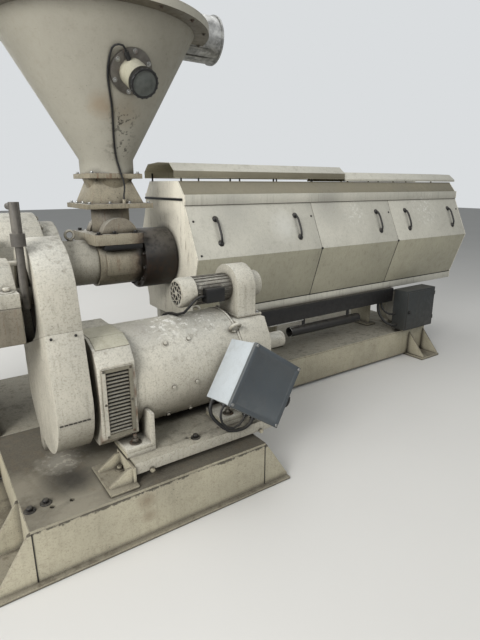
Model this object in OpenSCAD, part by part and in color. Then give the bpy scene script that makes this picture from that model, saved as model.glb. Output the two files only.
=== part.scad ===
// Single-screw plastic extruder: gearbox, belt drive, motor on an outrigger,
// hopper, feed section and a long barrel under lift-off covers.
// Origin: on the floor, under the screw axis, at the second cross member. +X runs
// to the discharge end, +Y away from the motor, +Z up. Millimetres.

/* [Base frame] */
// Height of the screw axis above the floor
screw_z = 1067; // [1040:1:1120]
// Top of the base frame above the floor
base_h = 254; // [230:1:270]
// Half width of the long base frame
base_half_w = 420; // [400:1:440]
// Discharge end of the base frame
base_far_x = 2860; // [2800:1:2950]
// Drive end of the base frame
base_near_x = -1400; // [-1460:1:-1380]
// Gap between the side beams and the floor
base_gap = 20; // [12:1:30]
// Thickness of the base top plate
base_plate_t = 10; // [8:1:14]
// Web and flange thickness of the side beams
beam_t = 12; // [8:1:16]
// Flange width of the side beams
beam_flange_w = 90; // [70:1:110]
// Reach of the end foot beyond the side beams
end_foot_reach = 170; // [120:1:200]
// Anchor hole radius
anchor_r = 11; // [8:0.5:13]

/* [Motor platform] */
// Front face of the platform, measured from the screw axis
platform_front = 1262; // [1240:1:1300]
// Left end of the platform
platform_x0 = -838; // [-860:1:-810]
// Right end of the platform
platform_x1 = 304; // [290:1:330]
// Plate thickness of the platform
platform_t = 12; // [8:1:16]
// Length of the triangular end gussets
platform_gusset = 150; // [120:1:180]
// Width of the floor lip in front of the platform
lip_w = 28; // [20:1:36]
// Thickness of the floor lip
lip_t = 14; // [10:1:18]

/* [Motor] */
// Distance from the screw axis to the motor axis
motor_dy = 830; // [815:1:845]
// Gap between the yoke and the slide plate under it
yoke_gap = 18; // [12:1:30]
// Height of the slide base above the platform
slide_h = 96; // [88:1:104]
// Height of the shim blocks under the motor feet
shim_t = 20; // [12:1:28]
// Outside radius of the motor yoke
yoke_r = 256; // [240:1:264]
// Drive-end face of the yoke
yoke_x0 = -310; // [-320:1:-300]
// Rear face of the yoke
yoke_x1 = 300; // [290:1:310]
// Length of the drive-end housing
drive_end_len = 170; // [150:1:180]
// Length of the rear housing
rear_len = 185; // [175:1:200]
// Motor shaft radius
shaft_r = 30; // [24:1:36]

/* [Belt drive] */
// Distance from the screw axis to the gearbox input shaft
input_dy = 780; // [770:1:800]
// Left plane of the belt guard
guard_x0 = -660; // [-668:1:-650]
// Width of the belt guard
guard_w = 152; // [140:1:160]
// Outer radius of the guard round the gearbox sheave
guard_top_r = 250; // [244:1:256]
// Outer radius of the guard round the motor sheave
guard_low_r = 280; // [274:1:290]
// Sheet thickness of the belt guard
guard_t = 4; // [3:0.5:5]
// Pitch radius of the gearbox sheave
big_sheave_r = 205; // [190:1:215]
// Pitch radius of the motor sheave
small_sheave_r = 120; // [110:1:140]

/* [Gearbox] */
// Drive-end face of the gearbox
gear_x0 = -1330; // [-1350:1:-1300]
// Screw-side face of the gearbox
gear_x1 = -720; // [-740:1:-700]
// Radius of the thrust bearing housing
thrust_big_r = 315; // [300:1:325]
// Radius of the stepped end of the bearing housing
thrust_mid_r = 262; // [250:1:275]
// Radius of the thrust cylinder
thrust_r = 140; // [130:1:150]

/* [Feed section] */
// Radius of the feed section casting
feed_r = 155; // [148:1:162]
// Left face of the feed section
feed_x0 = -115; // [-125:1:-105]
// Right face of the feed section
feed_x1 = 165; // [155:1:175]
// Height of the flat flange under the hopper throat
feed_flange_z = 1250; // [1240:1:1262]
// Radius of the dark barrel flange
flange_r = 195; // [185:1:205]
// Bore of the barrel and feed section
barrel_bore_r = 57; // [50:1:64]
// Outside radius of the barrel
barrel_r = 110; // [100:1:120]

/* [Hopper] */
// Radius at the top of the cone
hopper_top_r = 553; // [530:1:570]
// Radius at the foot of the cone
hopper_low_r = 160; // [150:1:170]
// Height of the top of the cone
hopper_top_z = 2365; // [2330:1:2400]
// Height of the foot of the cone, where the straight neck begins
hopper_low_z = 1680; // [1650:1:1710]
// Hopper axis, measured from the second cross member
hopper_x = 18; // [8:1:28]
// Width of the rim ring outside the hopper's top
rim_w = 87; // [70:1:97]
// Sheet thickness of the hopper
hopper_t = 4; // [3:0.5:5]
// Radius of the vent spout
spout_r = 138; // [125:1:150]
// Reach of the vent spout beyond the hopper's rim
spout_reach = 132; // [110:1:170]
// Height of the spout axis above the top of the cone
spout_rise = 75; // [60:1:90]

/* [Barrel guard] */
// Hopper-side face of the barrel guard
cover_x0 = 391; // [385:1:400]
// First seam between the front covers
cover_x1 = 1450; // [1420:1:1480]
// Second seam between the front covers
cover_x2 = 2330; // [2300:1:2360]
// Discharge-side face of the barrel guard
cover_x3 = 3330; // [3300:1:3360]
// Half width of the guard at the fold
fold_y = 440; // [425:1:450]
// Height of the fold
fold_z = 1085; // [1070:1:1100]
// Half width of the guard at the top of the sloped cover
shoulder_y = 287; // [275:1:300]
// Height of the top of the sloped cover
shoulder_z = 1410; // [1400:1:1420]
// Half width of the guard at the lower seam
seam_y = 322; // [312:1:335]
// Height of the lower seam
seam_z = 715; // [705:1:725]
// Bottom of the guard's lower rail
rail_z = 650; // [640:1:660]
// Sheet thickness of the covers
cover_t = 4; // [3:0.5:5]

/* [Hidden] */
$fn = 64;

cream = "#b9b29c";
dark = "#2a2826";
steel = "#9a9a98";

// Derived heights and places
beam_top = base_h - base_plate_t;
slide_top = base_h + slide_h;
motor_z = slide_top + yoke_gap + yoke_r;
motor_y = -motor_dy;
guard_x1 = guard_x0 + guard_w;
drive_x0 = yoke_x0 - drive_end_len;
rear_x1 = yoke_x1 + rear_len;
input_y = -input_dy;
flange_x1 = cover_x0 - 6;
bearing_x1 = -345;

// A block between two corners
module block(a, b) {
    translate(a) cube(b - a);
}

// A round bar along X
module bar_x(x0, x1, r, y = 0, z = 0) {
    translate([x0, y, z]) rotate([0, 90, 0]) cylinder(h = x1 - x0, r = r);
}

// A round bar along Y
module bar_y(y0, y1, r, x = 0, z = 0) {
    translate([x, y0, z]) rotate([-90, 0, 0]) cylinder(h = y1 - y0, r = r);
}

// A YZ outline run along X
module run_x(x0, x1) {
    translate([x0, 0, 0]) rotate([90, 0, 90]) linear_extrude(x1 - x0) children();
}

// An XZ outline run along Y
module run_y(y0, y1) {
    translate([0, y1, 0]) rotate([90, 0, 0]) linear_extrude(y1 - y0) children();
}

// The same piece on both sides of the screw axis
module both_sides() {
    children();
    mirror([0, 1, 0]) children();
}

module side_beam() {
    run_x(base_near_x, base_far_x) difference() {
        translate([-base_half_w, base_gap]) square([beam_flange_w, beam_top - base_gap]);
        translate([-base_half_w + beam_t, base_gap + beam_t])
            square([beam_flange_w, beam_top - base_gap - 2 * beam_t]);
    }
}

module base_front_beam() {
    color(cream) side_beam();
}

module base_rear_beam() {
    color(cream) mirror([0, 1, 0]) side_beam();
}

module base_top_plate() {
    color(cream) block([base_near_x, -base_half_w, beam_top], [base_far_x, base_half_w, base_h]);
}

cross_xs = [base_near_x + 90, 0, 1300, 2500];
cross_foot_w = 150;
anchor_y = base_half_w - beam_flange_w - 60;

module base_cross_members() {
    inner = base_half_w - beam_flange_w - 1;
    color(cream) for (x = cross_xs) difference() {
        union() {
            block([x - cross_foot_w / 2, -inner, 0], [x + cross_foot_w / 2, inner, base_gap]);
            block([x - beam_t / 2, -inner, base_gap], [x + beam_t / 2, inner, beam_top]);
        }
        for (s = [-1, 1]) translate([x - 45, s * anchor_y, -1]) cylinder(h = base_gap + 2, r = anchor_r);
    }
}

module base_end_feet() {
    color(cream) both_sides() {
        for (x = [base_far_x - 230, base_far_x - 24])
            run_x(x, x + beam_t) polygon([
                [-base_half_w, base_gap], [-base_half_w - end_foot_reach, base_gap],
                [-base_half_w - end_foot_reach, base_gap + 14], [-base_half_w, beam_top - 20]]);
        difference() {
            block([base_far_x - 250, -base_half_w - end_foot_reach - 10, 0],
                  [base_far_x, -base_half_w + beam_flange_w, base_gap]);
            translate([base_far_x - 130, -base_half_w - end_foot_reach / 2, -1])
                cylinder(h = base_gap + 2, r = anchor_r);
        }
    }
}

// Slots for moving the motor along the platform
module platform_top() {
    color(cream) difference() {
        block([platform_x0, -platform_front, base_h - platform_t], [platform_x1, -base_half_w, base_h]);
        for (x = [platform_x0 + 110, platform_x0 + 190])
            translate([x, -platform_front + 105, base_h - platform_t - 1]) cylinder(h = platform_t + 2, r = anchor_r);
    }
}

module platform_skirt() {
    z1 = base_h - platform_t;
    color(cream) {
        block([platform_x0, -platform_front, lip_t], [platform_x1, -platform_front + platform_t, z1]);
        for (x = [platform_x0, platform_x1 - platform_t])
            block([x, -platform_front + platform_t, lip_t], [x + platform_t, -base_half_w, z1]);
        block([platform_x0 - platform_gusset, -platform_front - lip_w, 0],
              [platform_x1 + platform_gusset, -platform_front + 2 * platform_t, lip_t]);
        for (y = [-platform_front, -platform_front + 240]) {
            run_y(y, y + platform_t)
                polygon([[platform_x1, lip_t], [platform_x1 + platform_gusset, lip_t],
                         [platform_x1 + platform_gusset, lip_t + 8], [platform_x1 + 8, z1], [platform_x1, z1]]);
            run_y(y, y + platform_t)
                polygon([[platform_x0, lip_t], [platform_x0 - platform_gusset, lip_t],
                         [platform_x0 - platform_gusset, lip_t + 8], [platform_x0 - 8, z1], [platform_x0, z1]]);
        }
        for (x = [platform_x0 - platform_gusset, platform_x1 - platform_t])
            block([x, -platform_front + platform_t, 0],
                  [x + platform_gusset + platform_t, -base_half_w, lip_t]);
    }
}

// Folded plate that carries the motor, on cross bars
slide_x0 = -380;
slide_x1 = 400;
slide_margin = 119;
slide_front = motor_dy + yoke_r + slide_margin;
slide_back = motor_dy - yoke_r - slide_margin + 10;
slide_t = 12;
slide_lip = 54;
slide_recess = 70;
foot_t = 20;
foot_half_w = 85;
foot_dy = yoke_r - 30;
foot_xs = [yoke_x0 + 40, yoke_x1 - 60];

// The blower's cable comes down behind the motor into a gland
blower_cable_r = 7;
blower_cable_lift = blower_cable_r + 2;
blower_cable_x = 24;
blower_gland_h = 25;

module slide_base() {
    color(cream) {
        difference() {
            run_x(slide_x0, slide_x1) difference() {
                translate([-slide_front, slide_top - slide_lip]) square([slide_front - slide_back, slide_lip]);
                translate([-slide_front + slide_t, slide_top - slide_lip - 1])
                    square([slide_front - slide_back - 2 * slide_t, slide_lip - slide_t + 1]);
            }
            for (x = [slide_x0 + 300, slide_x0 + 480])
                translate([x, -slide_front + 70, slide_top - slide_t - 1]) cylinder(h = slide_t + 2, r = anchor_r);
        }
        for (x = [slide_x0 + 60, slide_x1 - 140])
            block([x, -slide_front + slide_recess, base_h],
                  [x + 80, -slide_back - slide_t, slide_top - slide_t + 1]);
        translate([blower_cable_x, motor_y + yoke_r + blower_cable_lift, slide_top - 1])
            cylinder(h = blower_gland_h + 1, r = 13);
        for (x = foot_xs, s = [-1, 1])
            translate([x, motor_y + s * foot_dy, slide_top])
                block([-120, -foot_half_w, -1], [foot_t, foot_half_w, shim_t]);
    }
}

module slide_bracket() {
    x1 = slide_x0;
    y0 = -slide_front - 40;
    color(cream) {
        block([x1 - 130, y0, base_h], [x1, y0 + 260, base_h + 14]);
        block([x1 - 14, y0 + 30, base_h + 14], [x1, y0 + 230, slide_top - 10]);
        for (y = [y0 + 40, y0 + 190])
            run_y(y, y + 14) polygon([[x1 - 14, base_h + 14], [x1 - 118, base_h + 14], [x1 - 118, base_h + 24],
                                      [x1 - 34, slide_top - 14], [x1 - 14, slide_top - 14]]);
    }
}

module motor_yoke() {
    color(cream) bar_x(yoke_x0, yoke_x1, yoke_r, motor_y, motor_z);
}

// Outline of the drive-end housing about the motor axis
module drive_end_outline() {
    polygon([[-270, -180], [-270, 165], [-228, 228], [-150, 262], [150, 262], [228, 228],
             [270, 165], [270, -180], [205, -232], [-205, -232]]);
}

module motor_drive_end() {
    color(cream) difference() {
        run_x(drive_x0, yoke_x0) translate([motor_y, motor_z]) drive_end_outline();
        for (s = [-1, 1]) translate([drive_x0 + 33, motor_y + s * 240, motor_z - 160])
            translate([0, s > 0 ? 0 : -40, 0]) cube([104, 40, 300]);
    }
    color(steel) bar_x(guard_x0 + 30, drive_x0, shaft_r, motor_y, motor_z);
}

// Framed louvre on each flank of the drive end
module motor_grille() {
    x0 = drive_x0 + 15;
    x1 = yoke_x0 - 15;
    z0 = motor_z - 172;
    z1 = motor_z + 155;
    frame = 18;
    pitch = 17;
    color(cream) for (s = [-1, 1]) translate([0, motor_y + s * 270, 0]) mirror([0, s > 0 ? 1 : 0, 0]) {
        difference() {
            block([x0, -8, z0], [x1, 0, z1]);
            block([x0 + frame, -9, z0 + frame], [x1 - frame, 1, z1 - frame]);
        }
        for (z = [z0 + frame + 2 : pitch : z1 - frame - pitch + 4])
            run_x(x0 + frame, x1 - frame)
                polygon([[-6, z], [12, z + pitch - 4], [12, z + pitch - 1], [-6, z + 3]]);
    }
}

module rear_outline() {
    polygon([[-235, -165], [-235, 105], [-170, 221], [170, 221], [235, 105], [235, -165],
             [160, -228], [-160, -228]]);
}

module motor_rear_housing() {
    color(cream) run_x(yoke_x1, rear_x1) translate([motor_y, motor_z]) rear_outline();
}

module motor_feet() {
    z0 = slide_top + shim_t;
    color(cream) for (x = foot_xs, s = [-1, 1]) difference() {
        translate([0, motor_y + s * foot_dy, 0]) union() {
            block([x, -foot_half_w, z0], [x + foot_t, foot_half_w, motor_z - 90]);
            block([x - 120, -foot_half_w, z0], [x + foot_t, foot_half_w, z0 + foot_t]);
        }
        bar_x(yoke_x0 - 1, yoke_x1 + 1, yoke_r, motor_y, motor_z);
        translate([x - 60, motor_y + s * (yoke_r + 10), z0 - 1]) cylinder(h = foot_t + 2, r = 10);
    }
}

module motor_tachometer() {
    color(cream) {
        bar_x(rear_x1, rear_x1 + 60, 95, motor_y, motor_z);
        bar_x(rear_x1 + 60, rear_x1 + 260, 48, motor_y, motor_z);
    }
}

// A lifting eye on a round body about the X axis, at height r, turned by a
module lifting_eye(r, r_ring, r_bar, a = 0) {
    rotate([a, 0, 0]) difference() {
        translate([0, 0, r - r_bar]) {
            cylinder(h = r_bar * 2.5, r = r_bar * 2);
            translate([0, 0, 2 * r_bar + r_ring]) rotate([90, 0, 0])
                rotate_extrude() translate([r_ring, 0]) circle(r = r_bar, $fn = 24);
        }
        bar_x(-r_bar * 3, r_bar * 3, r);
    }
}

module lifting_eyes() {
    color(cream) for (a = [45, -45])
        translate([yoke_x1 - 32, motor_y, motor_z]) lifting_eye(yoke_r, 26, 9, a);
    color(steel) translate([feed_x0 - 130, 0, screw_z]) lifting_eye(thrust_r, 26, 8);
}

blower_x0 = yoke_x1 + 30;
blower_w = 115;
blower_r = 122;
blower_y = motor_y - 10;
blower_z = motor_z + 221 + 155;

module blower_scroll() {
    seat = motor_z + 221;
    color(cream) {
        block([blower_x0, blower_y - 125, seat], [blower_x0 + 160, blower_y + 125, seat + 14]);
        run_x(blower_x0 + 6, blower_x0 + 6 + blower_w) union() {
            translate([blower_y, blower_z]) circle(r = blower_r);
            translate([blower_y - blower_r, seat + 14]) square([blower_r * 1.55, blower_z - seat - 14]);
        }
        difference() {
            bar_x(blower_x0 + 6 + blower_w, blower_x0 + 86 + blower_w, 72, blower_y, blower_z);
            bar_x(blower_x0 + 20 + blower_w, blower_x0 + 87 + blower_w, 66, blower_y, blower_z);
        }
    }
}

module blower_motor() {
    x1 = blower_x0 + 6;
    color(cream) {
        bar_x(x1 - 215, x1, 72, blower_y, blower_z);
        bar_x(x1 - 306, x1 - 215, 78, blower_y, blower_z);
    }
    color(dark) block([x1 - 185, blower_y - 112, blower_z - 50], [x1 - 75, blower_y - 60, blower_z + 25]);
}

box_side = 318;
box_deep = 210;
box_at = [yoke_x1 - 59, motor_y - 409, motor_z - 25];

// Places of the glands on the box's lower face: the outer loop's two, then the inner loop's two
gland_h = 8;
box_glands = [[-130, 80], [122, 52], [-85, 39], [58, 39]];

module conduit_box() {
    color("#4a5054") difference() {
        translate(box_at) rotate([0, 35, 0]) rotate([-8, 0, -4]) {
            cube([box_side, box_deep, box_side], center = true);
            translate([-60, box_deep / 2, 0]) rotate([-90, 0, 0]) cylinder(h = 80, r = 60);
            for (g = box_glands) translate([g[0], g[1], -box_side / 2 - gland_h])
                cylinder(h = gland_h + 1, r = 15);
            translate([box_side / 2 - 1, -50, -18]) rotate([0, 90, 0]) cylinder(h = 37, r = 42);
        }
        bar_x(yoke_x0, yoke_x1 + 1, yoke_r, motor_y, motor_z);
    }
}

// The four points where two straight lines touch both circles
function tangent_points(p1, r1, p2, r2) =
    let (v = p2 - p1, u = v / norm(v), n = [-u[1], u[0]], c = (r1 - r2) / norm(v), s = sqrt(1 - c * c))
    [p1 + (r1 - 0.05) * (c * u + s * n), p2 + (r2 - 0.05) * (c * u + s * n),
     p2 + (r2 - 0.05) * (c * u - s * n), p1 + (r1 - 0.05) * (c * u - s * n)];

// Two circles joined by straight sides
module loop_outline(p1, r1, p2, r2) {
    translate(p1) circle(r = r1);
    translate(p2) circle(r = r2);
    polygon(tangent_points(p1, r1, p2, r2));
}

module guard_outline(d = 0) {
    loop_outline([input_y, screw_z], guard_top_r - d, [motor_y, motor_z], guard_low_r - d);
}

// The seam falls away from the front at this height and slope
guard_seam_z = 945;
guard_seam_slope = 0.35;

// The side of the guard seam that holds the upper or the lower cover
module seam_side(upper) {
    front = input_y - 600;
    back = input_y + 600;
    z_front = guard_seam_z - guard_seam_slope * (front - input_y + guard_top_r);
    z_back = guard_seam_z - guard_seam_slope * (back - input_y + guard_top_r);
    far = upper ? 2 * screw_z : -screw_z;
    polygon([[front, z_front], [back, z_back], [back, far], [front, far]]);
}

module belt_guard_upper() {
    color(cream) {
        difference() {
            run_x(guard_x0, guard_x1) intersection() {
                guard_outline();
                seam_side(true);
            }
            run_x(guard_x0 + guard_t, guard_x1 - guard_t) guard_outline(guard_t);
            bar_x(guard_x0 - 1, guard_x0 + guard_t + 1, guard_top_r - 70, input_y + 30, screw_z - 20);
            block([guard_x0 - 1, input_y - 20, guard_seam_z - 300],
                  [guard_x0 + guard_t + 1, input_y + 170, screw_z - 20]);
        }
        block([gear_x1, input_y + 140, screw_z + 113], [guard_x0, input_y + 180, screw_z + 133]);
    }
}

module belt_guard_lower() {
    color(cream) {
        difference() {
            run_x(guard_x0, guard_x1) intersection() {
                guard_outline();
                seam_side(false);
            }
            run_x(guard_x0 + guard_t, guard_x1 - guard_t) guard_outline(guard_t);
            bar_x(guard_x1 - guard_t - 1, guard_x1 + 1, shaft_r + 15, motor_y, motor_z);
        }
        run_x(guard_x0 + 8, guard_x0 + 46) polygon([
            [motor_y + 140, base_h], [motor_y + 200, base_h],
            [motor_y + 200, motor_z - sqrt(pow(guard_low_r - 0.5, 2) - pow(200, 2))],
            [motor_y + 140, motor_z - sqrt(pow(guard_low_r - 0.5, 2) - pow(140, 2))]]);
    }
}

belt_x0 = guard_x0 + 35;
belt_x1 = guard_x1 - 37;

module sheave(r, y, z, bore) {
    difference() {
        union() {
            bar_x(belt_x0, belt_x1, r, y, z);
            bar_x(belt_x0 - 12, belt_x1 + 12, bore + 30, y, z);
        }
        bar_x(belt_x0 - 13, belt_x1 + 13, bore, y, z);
    }
}

module motor_sheave() {
    color(dark) sheave(small_sheave_r - 8, motor_y, motor_z, shaft_r + 0.3);
}

input_shaft_r = 38;

module gearbox_sheave() {
    color(dark) sheave(big_sheave_r - 8, input_y, screw_z, input_shaft_r + 0.3);
}

module belt_outline(d) {
    loop_outline([input_y, screw_z], big_sheave_r + d, [motor_y, motor_z], small_sheave_r + d);
}

module drive_belts() {
    color(dark) for (i = [0 : 3]) run_x(belt_x0 + 4 + 18 * i, belt_x0 + 18 + 18 * i) difference() {
        belt_outline(5);
        belt_outline(-7.5);
    }
}

gear_wing_y = input_dy + 215;
gear_split = screw_z;
gear_foot_x1 = gear_x1 - 90;
gear_foot_y = base_half_w - 5;

module gearbox_case() {
    color(cream) {
        run_x(gear_x0, gear_foot_x1) polygon([
            [-gear_wing_y, gear_split], [-gear_wing_y, gear_split - 150], [-560, gear_split - 250],
            [-gear_foot_y + 15, gear_split - 420], [-gear_foot_y + 15, base_h + 30],
            [-gear_foot_y, base_h + 30], [-gear_foot_y, base_h], [gear_foot_y, base_h],
            [gear_foot_y, gear_split]]);
        run_x(gear_foot_x1, gear_x1) polygon([
            [-gear_wing_y, gear_split], [-gear_wing_y, gear_split - 150],
            [gear_foot_y, gear_split - 150], [gear_foot_y, gear_split]]);
    }
    color(steel) bar_x(gear_x1, belt_x1 + 20, input_shaft_r, input_y, screw_z);
}

module gearbox_cover() {
    color(cream) run_x(gear_x0, gear_x1) intersection() {
        union() {
            translate([0, screw_z]) circle(r = thrust_big_r);
            translate([-420, screw_z]) circle(r = 260);
            translate([input_y, screw_z]) circle(r = 170);
            translate([-gear_wing_y, gear_split]) square([gear_wing_y + gear_foot_y, 60]);
        }
        translate([-gear_wing_y, gear_split]) square([gear_wing_y + gear_foot_y, 600]);
    }
}

module oil_line() {
    x = (gear_x1 + guard_x0) / 2;
    y = -gear_wing_y + 65;
    color("#5a4a3a") {
        translate([x, y, screw_z + 283]) cylinder(h = 120, r = 20);
        bar_y(y, y + 130, 14, x, screw_z + 383);
    }
    color(cream) translate([x, y, screw_z + 233]) cylinder(h = 50, r = 28);
    color("#6e6e6c") {
        translate([x, y, screw_z - 20]) cylinder(h = 253, r = 16);
        bar_x(gear_x1, x, 14, y, screw_z + 30);
    }
}

module thrust_bearing_housing() {
    color(cream) {
        bar_x(gear_x1, bearing_x1 - 100, thrust_big_r, 0, screw_z);
        bar_x(bearing_x1 - 100, bearing_x1, thrust_mid_r, 0, screw_z);
    }
}

module thrust_cylinder() {
    color(cream) bar_x(bearing_x1, feed_x0, thrust_r, 0, screw_z);
}

feed_flange_t = 62;
feed_flange_y = 215;
throat_r = 116;
throat_bore_r = 70;
throat_top = 1398;

module feed_section() {
    pad_x0 = feed_x0 + 34;
    pad_x1 = feed_x1 - 22;
    color(cream) difference() {
        union() {
            bar_x(feed_x0, feed_x1, feed_r, 0, screw_z);
            block([feed_x0 - 45, -feed_flange_y, feed_flange_z - feed_flange_t],
                  [feed_x1 - 20, feed_flange_y, feed_flange_z]);
            both_sides() intersection() {
                bar_x(pad_x0, pad_x1, feed_r + 8, 0, screw_z);
                run_y(-feed_r - 10, 0) hull() for (x = [pad_x0 + 20, pad_x1 - 20], z = [-62, 52])
                    translate([x, screw_z + z]) circle(r = 20, $fn = 32);
            }
        }
        bar_x(feed_x0 + 30, feed_x1 + 1, barrel_bore_r, 0, screw_z);
        translate([hopper_x, 0, screw_z]) cylinder(h = 300, r = throat_bore_r);
    }
}

module feed_throat() {
    rise = throat_top - feed_flange_z;
    color(cream) difference() {
        union() {
            translate([hopper_x, 0, feed_flange_z]) cylinder(h = rise, r = throat_r);
            both_sides() run_y(-throat_r - 40, -throat_r + 30) intersection() {
                translate([hopper_x, feed_flange_z - 22]) circle(r = 114);
                translate([hopper_x - 120, feed_flange_z]) square([240, 120]);
            }
        }
        translate([hopper_x, 0, feed_flange_z - 1]) cylinder(h = rise + 2, r = throat_bore_r);
    }
}

module barrel_flange() {
    color(dark) difference() {
        bar_x(feed_x1, flange_x1, flange_r, 0, screw_z);
        bar_x(feed_x1 - 1, flange_x1 + 1, barrel_bore_r, 0, screw_z);
    }
}

discharge_r = barrel_r + 55;
barrel_x1 = cover_x3 + 30;

module barrel() {
    color(steel) difference() {
        bar_x(flange_x1, barrel_x1, barrel_r, 0, screw_z);
        bar_x(flange_x1 - 1, barrel_x1 + 1, barrel_bore_r, 0, screw_z);
    }
}

rail_w = 30;

support_inset = 900;

// Pedestals under the barrel, with a cross bar out to the guard rails
module barrel_supports() {
    color(cream) for (x = [cover_x0 + support_inset, cover_x3 - support_inset]) {
        block([x - 60, -140, base_h], [x + 60, 140, base_h + 16]);
        difference() {
            union() {
                block([x - 10, -110, base_h + 16], [x + 10, 110, screw_z - barrel_r + 40]);
                block([x - 50, -110, screw_z - barrel_r - 40], [x + 50, 110, screw_z - 30]);
            }
            bar_x(x - 51, x + 51, barrel_r, 0, screw_z);
        }
        block([x - 25, -seam_y + rail_w, rail_z + 8], [x + 25, seam_y - rail_w, rail_z + 48]);
    }
}

low_plate_half = 204;
up_plate_half = 161;
low_plate_z = throat_top;
up_plate_z = 1570;
plate_t = 14;

// Two bolted plates, a tapering chute between them and the foot of a funnel
module hopper_transition() {
    z0 = low_plate_z + 2 * plate_t;
    color(cream) translate([hopper_x, 0, 0]) difference() {
        union() {
            block([-low_plate_half, -low_plate_half, low_plate_z], [low_plate_half, low_plate_half, z0]);
            block([-up_plate_half, -up_plate_half, up_plate_z],
                  [up_plate_half, up_plate_half, up_plate_z + 2 * plate_t]);
            hull() {
                block([-160, -160, z0], [160, 160, z0 + 1]);
                block([-105, -105, up_plate_z - 1], [105, 105, up_plate_z]);
            }
            translate([0, 0, z0]) cylinder(h = up_plate_z - z0, r1 = 85, r2 = 150);
            translate([sensor_cable_end[0], sensor_cable_end[1], z0 - 1]) cylinder(h = 25, r = 11);
        }
        translate([0, 0, low_plate_z - 1]) cylinder(h = up_plate_z - low_plate_z + 2 * plate_t + 2, r = throat_bore_r);
    }
}

// Where the sensor cable ends on the lower plate, from the hopper's axis
sensor_cable_end = [28, -181];

hopper_foot_z = up_plate_z + 2 * plate_t;
hopper_slope = (hopper_top_r - hopper_low_r) / (hopper_top_z - hopper_low_z);

// Radius of the cone at height z
function cone_r(z) = hopper_low_r + hopper_slope * (z - hopper_low_z);

// The solid inside the hopper's outer surface
module hopper_body(d = 0) {
    rotate_extrude() polygon([
        [0, hopper_foot_z - d], [hopper_low_r - d, hopper_foot_z - d], [hopper_low_r - d, hopper_low_z],
        [hopper_top_r - d, hopper_top_z], [hopper_top_r - d, hopper_top_z + d], [0, hopper_top_z + d]]);
}

rim_r = hopper_top_r + rim_w;
rim_t = 36;
lid_t = 6;
spout_z = hopper_top_z + spout_rise;
spout_x0 = hopper_x + hopper_top_r - 110;
spout_x1 = hopper_x + rim_r + spout_reach;
fit = 0.3;

// The round passage that the spout takes through the hopper's side
module spout_way() {
    bar_x(spout_x0 - fit, spout_x1, spout_r + fit, 0, spout_z);
}

module hopper_cone() {
    color(cream) difference() {
        translate([hopper_x, 0, 0]) difference() {
            hopper_body();
            hopper_body(hopper_t);
        }
        spout_way();
    }
}

module hopper_rim() {
    inner = hopper_top_r - hopper_t;
    color(cream) difference() {
        translate([hopper_x, 0, hopper_top_z]) difference() {
            cylinder(h = rim_t, r = rim_r, $fn = 180);
            translate([0, 0, -1]) cylinder(h = rim_t + 2, r = inner, $fn = 180);
        }
        spout_way();
    }
}

module hopper_lid() {
    color(cream) difference() {
        translate([hopper_x, 0, hopper_top_z + rim_t]) cylinder(h = lid_t, r = rim_r, $fn = 180);
        spout_way();
    }
}

module vent_spout() {
    wall = 3;
    color(steel) difference() {
        union() {
            bar_x(spout_x0, spout_x1, spout_r, 0, spout_z);
            bar_x(spout_x1 - 12, spout_x1, spout_r + 8, 0, spout_z);
        }
        bar_x(spout_x0 + wall, spout_x1 + 1, spout_r - wall, 0, spout_z);
        translate([hopper_x, 0, 0]) hopper_body(hopper_t);
    }
}

sensor_z = 2103;
sensor_turn = 4;
sensor_gland_z = 24;
sensor_gland_turn = 31;
sensor_gland_r = 112;

module level_sensor() {
    translate([hopper_x, 0, 0]) difference() {
        rotate([0, 0, sensor_turn]) translate([0, -cone_r(sensor_z), sensor_z])
            rotate([90 + atan(hopper_slope), 0, 0]) {
                color(steel) translate([0, 0, -30]) cylinder(h = 38, r = 115);
                color(cream) translate([0, 0, 8]) cylinder(h = 120, r = 70);
                color(dark) translate([0, 0, 128]) cylinder(h = 30, r = 74);
                color(dark) translate([0, 0, sensor_gland_z]) rotate([-90, 0, sensor_gland_turn])
                    cylinder(h = sensor_gland_r, r = 12);
            }
        hopper_body();
    }
}

// Half of the barrel guard's outline, from the lower rail to the top of the neck
neck_low_y = 279;
neck_low_z = 1475;
neck_top_y = 210;
neck_top_z = 1557;
neck_t = 6;
upper_rail_y = shoulder_y + 8;

guard_half = [
    [seam_y, rail_z], [seam_y, seam_z], [fold_y, fold_z], [shoulder_y, shoulder_z],
    [upper_rail_y, shoulder_z], [upper_rail_y, neck_low_z], [neck_low_y, neck_low_z],
    [neck_top_y, neck_top_z]];

end_t = 8;
cover_in_x0 = cover_x0 + end_t;
cover_in_x3 = cover_x3 - end_t;

// An end plate of the guard, with a round hole for the barrel
module guard_end(x) {
    n = len(guard_half);
    run_x(x, x + end_t) difference() {
        polygon(concat(guard_half, [for (i = [n - 1 : -1 : 0]) [-guard_half[i][0], guard_half[i][1]]]));
        translate([0, screw_z]) circle(r = barrel_r + 62);
    }
}

module guard_end_plates() {
    color(cream) {
        guard_end(cover_x0);
        guard_end(cover_in_x3);
    }
}

// Rails along both sides, and two legs under the hopper-side end plate
module guard_frame() {
    color(cream) both_sides() {
        block([cover_in_x0, -seam_y, rail_z], [cover_in_x3, -seam_y + rail_w, seam_z]);
        block([cover_in_x0, -upper_rail_y, shoulder_z], [cover_in_x3, -upper_rail_y + 38, neck_low_z]);
        block([cover_x0, -190, base_h], [cover_x0 + 50, -140, rail_z]);
    }
}

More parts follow.
